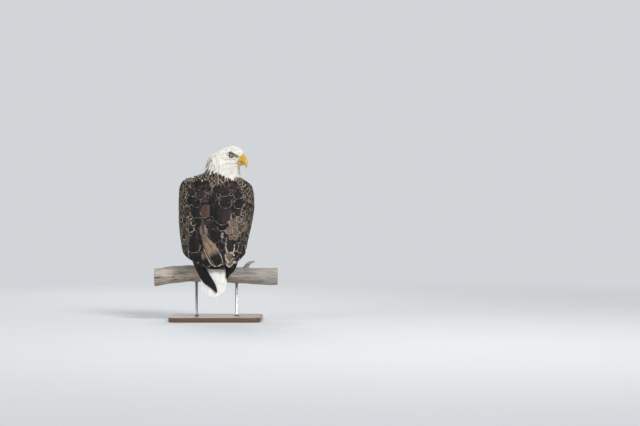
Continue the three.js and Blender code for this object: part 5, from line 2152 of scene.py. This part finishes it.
@dataclass
class Eye:
    """One eyeball and the lids round it."""

    side: Side
    radius: float = 12.0
    cornea: float = 1.1
    look: float = 50.0  # degrees from straight ahead that the pupil looks
    opening: float = 68.0  # and that the lids' opening faces
    dip: float = -2.0
    long: float = 8.9  # half the opening's length
    tall: float = 7.3
    bowl: tuple[tuple[float, ...], ...] = ((0, 8, 12, 16, 24, 40, 60), (5, 6.5, 9.5, 12, 16, 27, 50))
    lid: float = 1.5  # how thick a lid is
    lid_reach: float = np.radians(78.0)  # where the lids end, from the opening's axis
    lid_steps: tuple[float, ...] = (0.0, 0.0, 0.03, 0.10, 0.20, 0.32, 0.42, 0.52, 0.68, 0.84, 1.0, 1.0)
    lid_lifts: tuple[float, ...] = (-0.8, 0.35, 1.0, 1.25, 1.0, 0.55, 0.75, 0.6, 0.3, -0.2, -1.2, -2.6)

    def build(self) -> None:
        """Makes and dresses the eye."""
        word = self.side.word
        piece("eyeball_" + word, self.ball(), EyeGlass(), Slot.EYE, "eye_" + word)
        piece("lids_" + word, self.lids(), SHADED_LID_SKIN, Slot.CERE)

    def axes(self, angle: float) -> Array:
        """Unit vectors out through the eye, level across it towards the bill, and up."""
        ahead, left, up = HEAD.axes()
        out = unit(ahead * np.cos(np.radians(angle)) - self.side * left * np.sin(np.radians(angle)))
        out = unit(out + up * np.sin(np.radians(self.dip)))
        forward = unit(ahead - out * (ahead @ out))
        rise = np.cross(out, forward)
        return np.stack([out, forward, rise * np.sign(rise @ up)])

    def centre(self) -> Array:
        """The eyeball's middle."""
        return box_centre("eye_" + self.side.word)

    def rings(self, facing: float, angle: Array, heading: Array, reach: Array) -> Array:
        """Points about the eyeball.

        Args:
            facing: Where their axis looks, in degrees from straight ahead.
            angle: Each point's angle from that axis.
            heading: Its angle round the axis, from the bill's side up.
            reach: Its distance from the eyeball's middle.

        Returns:
            The points.
        """
        out, forward, rise = self.axes(facing)
        across = forward * np.cos(heading)[..., None] + rise * np.sin(heading)[..., None]
        away = out * np.cos(angle)[..., None] + across * np.sin(angle)[..., None]
        return self.centre() + away * reach[..., None]

    def ball(self) -> Shape:
        """A sphere with the cornea's low bump about its axis."""
        angle = np.linspace(0.02, np.pi - 0.02, 72)[:, None]
        reach = self.radius - 0.35 + self.cornea * np.exp(-((angle / 0.5) ** 4))
        return facing_out(tube(self.rings(self.look, angle, circle(48)[None], reach)), self.centre())

    def lids(self) -> Shape:
        """A ring of folded skin on the eyeball.

        It starts at the opening, an ellipse pulled to a point towards the bill, rises to a rounded margin,
        dips to a fold and spreads out over the eyeball until it passes under the feathers.
        """
        turn = circle(96)
        point = 1 + 0.16 * bell((turn + 0.25 + np.pi) % TURN - np.pi, 0.35)
        wide = self.long * np.cos(turn) * point
        high = self.tall * np.sin(turn) * np.where(np.sin(turn) > 0, 0.86, 1.0)
        inner = np.arcsin(np.clip(np.hypot(wide, high) / (self.radius + 0.4), 0, 0.98))
        step = np.array(self.lid_steps)[:, None]
        lift = np.array(self.lid_lifts)[:, None] * self.lid
        wave = 1 + 0.10 * np.sin(9 * turn) * np.sin(np.pi * step)
        reach = self.radius + 0.3 + lift * wave
        angle = inner + (self.lid_reach - inner) * step
        rings = self.rings(self.opening, angle, np.arctan2(high, wide), reach)
        return facing_out(tube(rings, Ends.JOINED), self.centre())

    def above(self, points: Array) -> tuple[Array, Array, Array]:
        """How far points are out through the opening, off its axis, and towards the bill."""
        out, forward, _ = self.axes(self.opening)
        away = points - self.centre()
        high = dot(away, out)
        return high, np.linalg.norm(away - high[..., None] * out, axis=-1), dot(away, forward)

    def pressed(self, points: Array) -> Array:
        """Points of the head, kept below a bowl about the eye that is level with its lids in the middle."""
        high, off, _ = self.above(points)
        over = high - np.interp(off, *self.bowl)
        down = 0.5 * (over + np.sqrt(over**2 + 9.0)) * (high > -8) * smooth(off, 62, 50)
        return points - self.axes(self.opening)[0] * down[..., None]

    def clear(self, points: Array) -> Array:
        """Whether points are out of the lids' way, further off before the eye, where feathers point at it."""
        high, off, ahead = self.above(points)
        return (off > 10.4 + 1.6 * ahead / np.maximum(off, 1.0)) | (high < -6)


@dataclass
class Face:
    """Bare ridges of the face: the brows over the eyes, and the gape behind the bill."""

    lie: Lie
    brow: tuple[tuple[float, ...], ...] = (  # ahead, out to the side, up and radius
        (-13, 27.0, 12.2, 1.2), (-6, 28.6, 12.2, 2.6), (2, 29.3, 11.0, 3.6), (11, 27.8, 8.6, 3.8),
        (20, 23.8, 5.0, 3.3), (28, 19.6, 1.4, 2.5), (35, 15.8, -1.8, 1.4))
    gape: tuple[tuple[float, ...], ...] = (  # ahead, up and radius
        (48, -29.5, 1.8), (42, -30.0, 2.9), (37, -30.6, 3.1), (32, -31.8, 2.7), (28, -33.2, 1.8),
        (23, -34.8, 0.7))
    gape_depth: float = 0.6
    stations: int = 60

    def build(self, side: Side) -> None:
        """Makes and dresses one side's ridges."""
        share = np.linspace(0, 1, self.stations)
        ahead, out, up, radius = steps(self.brow, share).T
        piece("brow_" + side.word, self.ridge(side, ahead, out, up, radius, 0.8), SHADED_BROW_SKIN, Slot.CERE)
        ahead, up, radius = steps(self.gape, share).T
        piece("gape_" + side.word, self.ridge(side, ahead, self.out(side, ahead, up), up, radius, 0.75),
              GAPE_SKIN, Slot.CERE)

    @staticmethod
    def ridge(side: Side, ahead: Array, out: Array, up: Array, radius: Array, squash: float) -> Shape:
        """A ridge of skin along a line of the face.

        Args:
            side: Which side of the head.
            ahead: How far ahead the line runs.
            out: How far out to the side.
            up: How far up.
            radius: The ridge's radius.
            squash: Height of its section over its width.

        Returns:
            The ridge.
        """
        return carried(HEAD.place(np.stack([ahead, -side * out, up], -1)), radius, 20, squash)

    def out(self, side: Side, ahead: Array, up: Array) -> Array:
        """How far out a line just under the head's surface runs, eased along its length.

        Args:
            side: Which side of the head.
            ahead: How far ahead the line runs.
            up: How far up.

        Returns:
            A distance from the head's middle for each of its points.
        """
        limit = int(SPINE.row(650.0))
        parts = HEAD.parts(self.lie.points[:limit].reshape(-1, 3))
        parts = parts[parts[:, 1] * side < -4]
        far = (parts[:, 0] - ahead[:, None]) ** 2 + (parts[:, 2] - up[:, None]) ** 2
        nearest = np.argsort(far, axis=1)[:, :4]
        weight = 1 / (np.take_along_axis(far, nearest, 1) + 0.5)
        weight = weight / weight.sum(axis=1, keepdims=True)
        found = np.abs(np.sum(weight * parts[nearest, 1], axis=1))
        return np.convolve(np.pad(found, 4, mode="edge"), np.ones(9) / 9, "valid") - self.gape_depth


# ---- branch and feet
@dataclass
class Branch:
    """The cut branch: rows of x, height over its axis, y and radius."""

    rows: tuple[tuple[float, ...], ...] = (
        (-272, -13, 6, 41), (-200, -2, 2, 38.5), (-120, 5, 0, 36.5), (-40, 3, 0, 36), (40, -1, 0, 36),
        (140, -5, 2, 36), (210, -9, 4, 37.5), (268, -8, 8, 37))
    stub: tuple[tuple[float, ...], ...] = ((112, 2, 4, 13), (140, -16, 46, 8), (166, -20, 58, 2.6))
    swell: float = 1.1  # how far the section is drawn out of round
    swell_length: float = 31.0  # distance along x in which that turns by a radian
    twist: float = 90.0  # and in which its long axis does
    ripple: float = 0.7  # how far three low waves rise round the branch
    ripple_length: float = 13.0  # distance in which they turn by a radian
    ridges: tuple[tuple[float, ...], ...] = (  # how many round the branch, how fast they drift, and size
        (7, 61.0, 0.34), (11, 43.0, 0.30), (19, 35.0, 0.22), (31, 27.0, 0.16), (47, 21.0, 0.10))
    knots: tuple[tuple[float, ...], ...] = (  # x, angle, size and spread
        (-212.0, 3.9, 2.2, 13.0), (-95.0, 4.3, 1.4, 10.0), (196.0, 3.4, 2.4, 12.0), (118.0, 5.2, 1.6, 9.0))

    def build(self) -> None:
        """Makes and dresses the branch and its stub."""
        piece("branch", self.wood(), DeadWood(), Slot.BRANCH, "perch")
        piece("branch_stub", self.snag(), DeadWood(), Slot.BRANCH)

    def axis(self, x: Array) -> tuple[Array, Array, Array]:
        """Height, y and radius at x."""
        height, y, radius = np.moveaxis(along(self.rows, x), -1, 0)
        return PERCH + height, y, radius

    def wood(self) -> Shape:
        """The branch, its bark gone: long low ridges, knots, and sawn ends with a small bevel.

        Ridges are sines round the branch whose phases drift along it, and a knot is a bump that falls off
        as a bell curve from its middle. Angles run from +Y towards up.
        """
        low, high = self.rows[0][0], self.rows[-1][0]
        middle = np.linspace(low + 1.5, high - 1.5, 330)
        x = np.concatenate([[low, low + 0.05], middle, [high - 0.05, high]])[:, None]
        turn = circle(150)[None]
        ridge = np.zeros((len(x), turn.shape[1]))
        for waves, drift, size in self.ridges:
            phase = chance.uniform(0, TURN, 3)
            slide = 2.2 * np.sin(x / drift + phase[0]) + 0.8 * np.sin(x / (drift * 0.41) + phase[1])
            fade = 0.6 + 0.4 * np.sin(x / (drift * 1.7) + phase[2])
            ridge = ridge + size * fade * (1 - 2 * np.abs(np.sin((waves * turn + slide) / 2)) ** 0.7)
        for at, angle, size, spread in self.knots:
            around = (np.mod(turn - angle + np.pi, TURN) - np.pi) * 36
            far = ((x - at) / spread) ** 2 + (around / (0.7 * spread)) ** 2
            ridge = ridge + size * (np.exp(-far) - 0.6 * np.exp(-4 * far))
        ends = np.array([-1.4, -0.35])
        bevel = np.concatenate([ends, np.zeros(len(x) - 4), ends[::-1]])[:, None]
        ease = np.clip((np.minimum(x - low, high - x)) / 6, 0.25, 1)
        height, y, radius = self.axis(x)
        reach = radius + self.swell * np.sin(x / self.swell_length) * np.cos(2 * turn + x / self.twist)
        reach = reach + self.ripple * np.sin(x / self.ripple_length + 3 * turn) + ridge * ease - 0.35 + bevel
        rings = np.stack([x + 0 * turn, y + reach * np.cos(turn), height + reach * np.sin(turn)], -1)
        return facing_out(tube(rings), np.array([0, 0, PERCH]))

    def snag(self) -> Shape:
        """The broken curved stub, ridged along its grain and splintered at its end."""
        share = np.linspace(0, 1, 64)
        x, y, height, radius = steps(self.stub, share).T
        path = np.stack([x, y, height + PERCH], -1)
        turn = circle(48)
        way = share[:, None]
        ridge = 1 + 0.05 * np.sin(7 * turn + 5 * way) + 0.04 * np.sin(13 * turn - 3 * way)
        made = swollen(carried(path, radius, len(turn)), path, ridge)
        splinter = smooth(way, 0.9, 1.0) * (1.6 * np.sin(5 * turn) + 1.2 * np.sin(9 * turn + 1))
        made.points[:-2, 0] += splinter.ravel()
        return made


BRANCH = Branch()


@dataclass(frozen=True)
class Toe:
    """One toe: its length, its heading out from straight ahead in degrees, its girth and its claw."""

    length: float
    heading: float
    radius: float
    claw: float
    joints: int


TOES = {
    "inner": Toe(50, -34, 9.4, 36, 2),
    "middle": Toe(70, 3, 9.2, 33, 3),
    "outer": Toe(54, 36, 8.4, 28, 3),
    "rear": Toe(36, 176, 10, 40, 1),
}


@dataclass
class Foot:
    """One scaled foot that grips the branch, with four claws."""

    side: Side
    middle: float = -5.0
    out: float = 47.0
    shank: tuple[tuple[float, float, float], ...] = (  # height over the branch, y and radius
        (44, -2, 11.4), (60, -3, 9.5), (92, 2, 10.9))
    lift: float = 0.82  # a toe's axis above the bark, in radii
    girth: tuple[float, ...] = (1.05, 0.88, 0.98, 0.8, 0.72)  # along a toe, in radii
    claw_start: float = 0.93  # where a claw starts, in shares of its toe
    claw_run: float = 0.9  # how far it runs along the bark, in its own lengths
    claw_lift: float = 0.85  # its root's height over the bark, in the toe's radii
    claw_arch: float = 5.0  # how far it arches up
    claw_fall: float = 4.5  # how much lower its tip is
    claw_peak: float = 1.15  # how much sooner than the claw the arch ends
    claw_girth: tuple[float, ...] = (5.2, 4.6, 3.0, 0.9)  # radii from root to tip

    def build(self) -> None:
        """Makes and dresses the foot and its claws."""
        word = self.side.word
        toes = [self.toe(toe) for toe in TOES.values()]
        piece("scaled_foot_" + word, joined([self.leg(), *toes]), FOOT_SKIN, Slot.FOOT, "foot_" + word)
        for name, toe in TOES.items():
            piece(f"talon_{word}_{name}", self.claw(toe), ClawHorn(), Slot.CLAW, f"claw_{word}_{name}")

    def way(self, toe: Toe, share: Array, lift: Array) -> Array:
        """Points over the bark along a toe.

        Args:
            toe: The toe.
            share: Shares of its length, which may run past 1 into its claw.
            lift: Heights over the bark.

        Returns:
            The points.
        """
        heading = np.radians(toe.heading)
        x = self.middle + self.side * (self.out + toe.length * share * np.sin(heading))
        height, y, radius = BRANCH.axis(x)
        turn = toe.length * share * np.cos(heading) / (radius + TOES["middle"].radius)
        return np.stack([x, y + (radius + lift) * np.sin(turn), height + (radius + lift) * np.cos(turn)], -1)

    def toe(self, toe: Toe) -> Shape:
        """A toe with swollen joints, broad plates on top and soft pads below.

        Args:
            toe: Which toe.

        Returns:
            Its skin.
        """
        share = np.linspace(-0.06, 1.0, 72)
        radius = steps(self.girth, np.clip(share, 0, 1))[:, 0] * toe.radius
        radius = radius * np.sqrt(np.clip(1 - ((share - 0.93) / 0.08).clip(0, 0.97) ** 2, 0.05, 1))
        path = self.way(toe, share, self.lift * toe.radius)
        made = carried(path, radius, 28)
        outward = unit(path - self.way(toe, share, self.lift * toe.radius - 8.0))
        top = dot(unit(spokes(made, path)), outward[:, None])
        way = share[:, None]
        plates = np.abs(np.sin(way * toe.length / 4.6 * np.pi)) ** 0.5
        joints = np.abs(np.cos(way * toe.joints * np.pi)) ** 1.5
        swell = 0.045 * plates * smooth(top, 0.0, 0.7) + 0.14 * joints * smooth(-top, 0.1, 0.8)
        swell = swell + 0.02 * np.sin(way * 61 + 5 * circle(28)) * smooth(-top, -0.3, 0.5)
        return swollen(made, path, 1.0 + swell)

    def leg(self) -> Shape:
        """The bare shank, with plates down its front and small scales round its back."""
        height = np.linspace(self.shank[0][0] - 4, self.shank[-1][0], 80)
        y, radius = along(self.shank, height).T
        turn = circle(40)
        front = smooth(np.sin(turn), 0.2, 0.8)
        plates = np.abs(np.sin(height / 5.2 * np.pi))[:, None] ** 0.5
        small = np.sin(height / 1.4)[:, None] * np.sin(9 * turn)
        reach = radius[:, None] * (1 + 0.05 * plates * front + 0.015 * small * (1 - front))
        middle = np.stack([np.full(80, self.middle + self.side * self.out), y], -1)
        rings = stacked(middle[:, None] + ring_of(40) * reach[..., None], height + PERCH)
        return facing_out(tube(rings), rings.mean(axis=(0, 1)))

    def claw(self, toe: Toe) -> Shape:
        """A claw that leaves the end of its toe, arches up and comes down to the bark.

        Args:
            toe: Which toe it is on.

        Returns:
            The claw.
        """
        share = np.linspace(0, 1, 44)
        arch = self.claw_arch * np.sin(np.pi * np.minimum(share * self.claw_peak, 1))
        rise = toe.radius * self.claw_lift + arch
        along_toe = self.claw_start + self.claw_run * share * toe.claw / toe.length
        radius = steps(self.claw_girth, share)[:, 0]
        radius = radius * np.sqrt(np.clip(1 - ((share - 0.97) / 0.031).clip(0, 0.99) ** 2, 0.02, 1))
        return carried(self.way(toe, along_toe, rise - self.claw_fall * share), radius, 24, 1.08)


# ---- the stand
@dataclass
class Stand:
    """The board and the two steel rods that carry the branch."""

    long: float = 400.0
    deep: float = 300.0
    thick: float = 20.0
    corner: float = 40.0  # radius of the board's corners
    bevel: float = 2.5  # radius of its edges
    y: float = -25.0  # its middle
    rod: float = 6.0  # radius of a rod
    spread: float = 88.0  # how far out to each side the rods stand
    collar: float = 11.0  # radius of a rod's collar

    def build(self) -> None:
        """Makes and dresses the stand."""
        piece("board", self.board(), BaseWood(), Slot.BASE, "stand_base")
        for side in Side:
            piece("rod_" + side.word, self.upright(side), RodSteel(), Slot.ROD, "stand_rod_" + side.word)

    def board(self) -> Shape:
        """A rectangle with round corners, carried up a profile with rolled edges."""
        around = ring_of(192)
        corner = np.sign(around) * (np.array([self.long, self.deep]) / 2 - self.corner)
        quarter = np.linspace(0, np.pi / 2, 7)
        rise = self.bevel * (1 - np.cos(quarter))
        close = self.bevel * (1 - np.sin(quarter))
        inset = np.array([self.corner, *close, *rise, self.corner])
        height = np.array([0.0, *rise, *(self.thick - close), self.thick])
        reach = np.maximum(self.corner - inset, 0.5)[:, None, None]
        rings = stacked(corner + around * reach + np.array([0.0, self.y]), height)
        return facing_out(tube(rings), np.array([0, self.y, self.thick / 2]))

    def upright(self, side: Side) -> Shape:
        """A rod from the board into the branch, with a turned collar at its foot.

        Args:
            side: Which of the two.

        Returns:
            The rod.
        """
        x = side * self.spread
        height, y, radius = BRANCH.axis(np.array(x))
        top = height - radius + 6
        reach, rise = np.array([
            (self.collar, 0.05), (self.collar, 4.2), (self.collar - 0.8, 5.0), (self.rod + 1.6, 5.2),
            (self.rod + 0.9, 7.0), (self.rod, 8.0), (self.rod, top - 0.1 - self.thick),
            (self.rod - 0.3, top - self.thick)]).T
        rings = stacked(ring_of(48) * reach[:, None, None] + np.array([x, y]), self.thick + rise)
        return facing_out(tube(rings), np.array([x, y, (self.thick + top) / 2]))


# ---- the stage
@dataclass
class Stage:
    """Floor, lamps, background and camera."""

    eye: tuple[float, float, float] = (0.455, -7.0, 0.4706)
    lens: float = 89.49
    aim: float = 0.45  # height that the lamps face
    wall: float = 16000.0
    curve: float = 5000.0
    height: float = 14000.0

    def build(self) -> None:
        """Makes them all."""
        scene = bpy.context.scene
        scene.view_settings.view_transform = "Standard"
        lens = bpy.data.cameras.new("camera")
        lens.lens = self.lens
        lens.sensor_width = 36.0
        camera = bpy.data.objects.new("camera", lens)
        camera.location = self.eye
        camera.rotation_euler = (np.pi / 2, 0, 0)
        scene.collection.objects.link(camera)
        scene.camera = camera
        self.floor().build("backdrop", Backdrop().made())
        self.lamp("key", (2.3, -3.0, 3.6), 150.0, 1.5)
        self.lamp("fill", (-3.4, -2.6, 2.0), 40.0, 2.6)
        self.lamp("rim", (-0.8, 3.4, 2.8), 60.0, 1.8)
        world = bpy.data.worlds.new("studio")
        world.use_nodes = True
        sky = world.node_tree.nodes["Background"].inputs
        sky["Color"].default_value = (0.97, 0.985, 1.0, 1)
        sky["Strength"].default_value = 0.5
        scene.world = world

    def lamp(self, name: str, place: tuple[float, float, float], power: float, size: float) -> None:
        """One square lamp that faces the bird.

        Args:
            name: Its name.
            place: Where it is, in metres.
            power: Its power in watts.
            size: The length of its side.
        """
        light = bpy.data.lights.new(name, "AREA")
        light.energy = power
        light.size = size
        made = bpy.data.objects.new(name, light)
        away = np.array(place) - (0, 0, self.aim)
        level = np.hypot(away[0], away[1])
        made.location = place
        made.rotation_euler = (np.arctan2(level, away[2]), 0, np.arctan2(away[1], away[0]) + np.pi / 2)
        bpy.context.scene.collection.objects.link(made)

    def floor(self) -> Shape:
        """A round floor that turns up into a wall all round, far out.

        Rings of points stand on a profile of a level line, a quarter circle and an upright.
        """
        bend = np.linspace(0, np.pi / 2, 17)
        turn_up = self.wall - self.curve + self.curve * np.sin(bend)
        out = np.concatenate([[1.0, 700, 1500, 3000, 6000], turn_up, [self.wall]])
        up = np.concatenate([np.zeros(5), self.curve - self.curve * np.cos(bend), [self.height]])
        return tube(stacked(ring_of(96)[::-1] * out[:, None, None], up), Ends.OPEN)


def main() -> None:
    """Builds every piece in order."""
    Stage().build()
    lie = SPINE.measured()
    thighs = [Thigh(side) for side in Side]
    Skin(lie, [thigh.surface() for thigh in thighs]).build()
    Coat(lie).build()
    Tail().build()
    for part in (*WING_TIPS, *thighs, Bill()):
        part.build()
    face = Face(lie)
    for side in Side:
        Eye(side).build()
        face.build(side)
    for side in Side:
        Foot(side).build()
    BRANCH.build()
    Stand().build()

    shown = [o for o in bpy.data.objects if o.type == "MESH" and not o.hide_render]
    log.info("%d triangles in all", sum(len(f.vertices) - 2 for o in shown for f in o.data.polygons))


if __name__ == "__main__":
    logging.basicConfig(level=logging.INFO, format="%(name)s %(message)s")
    main()
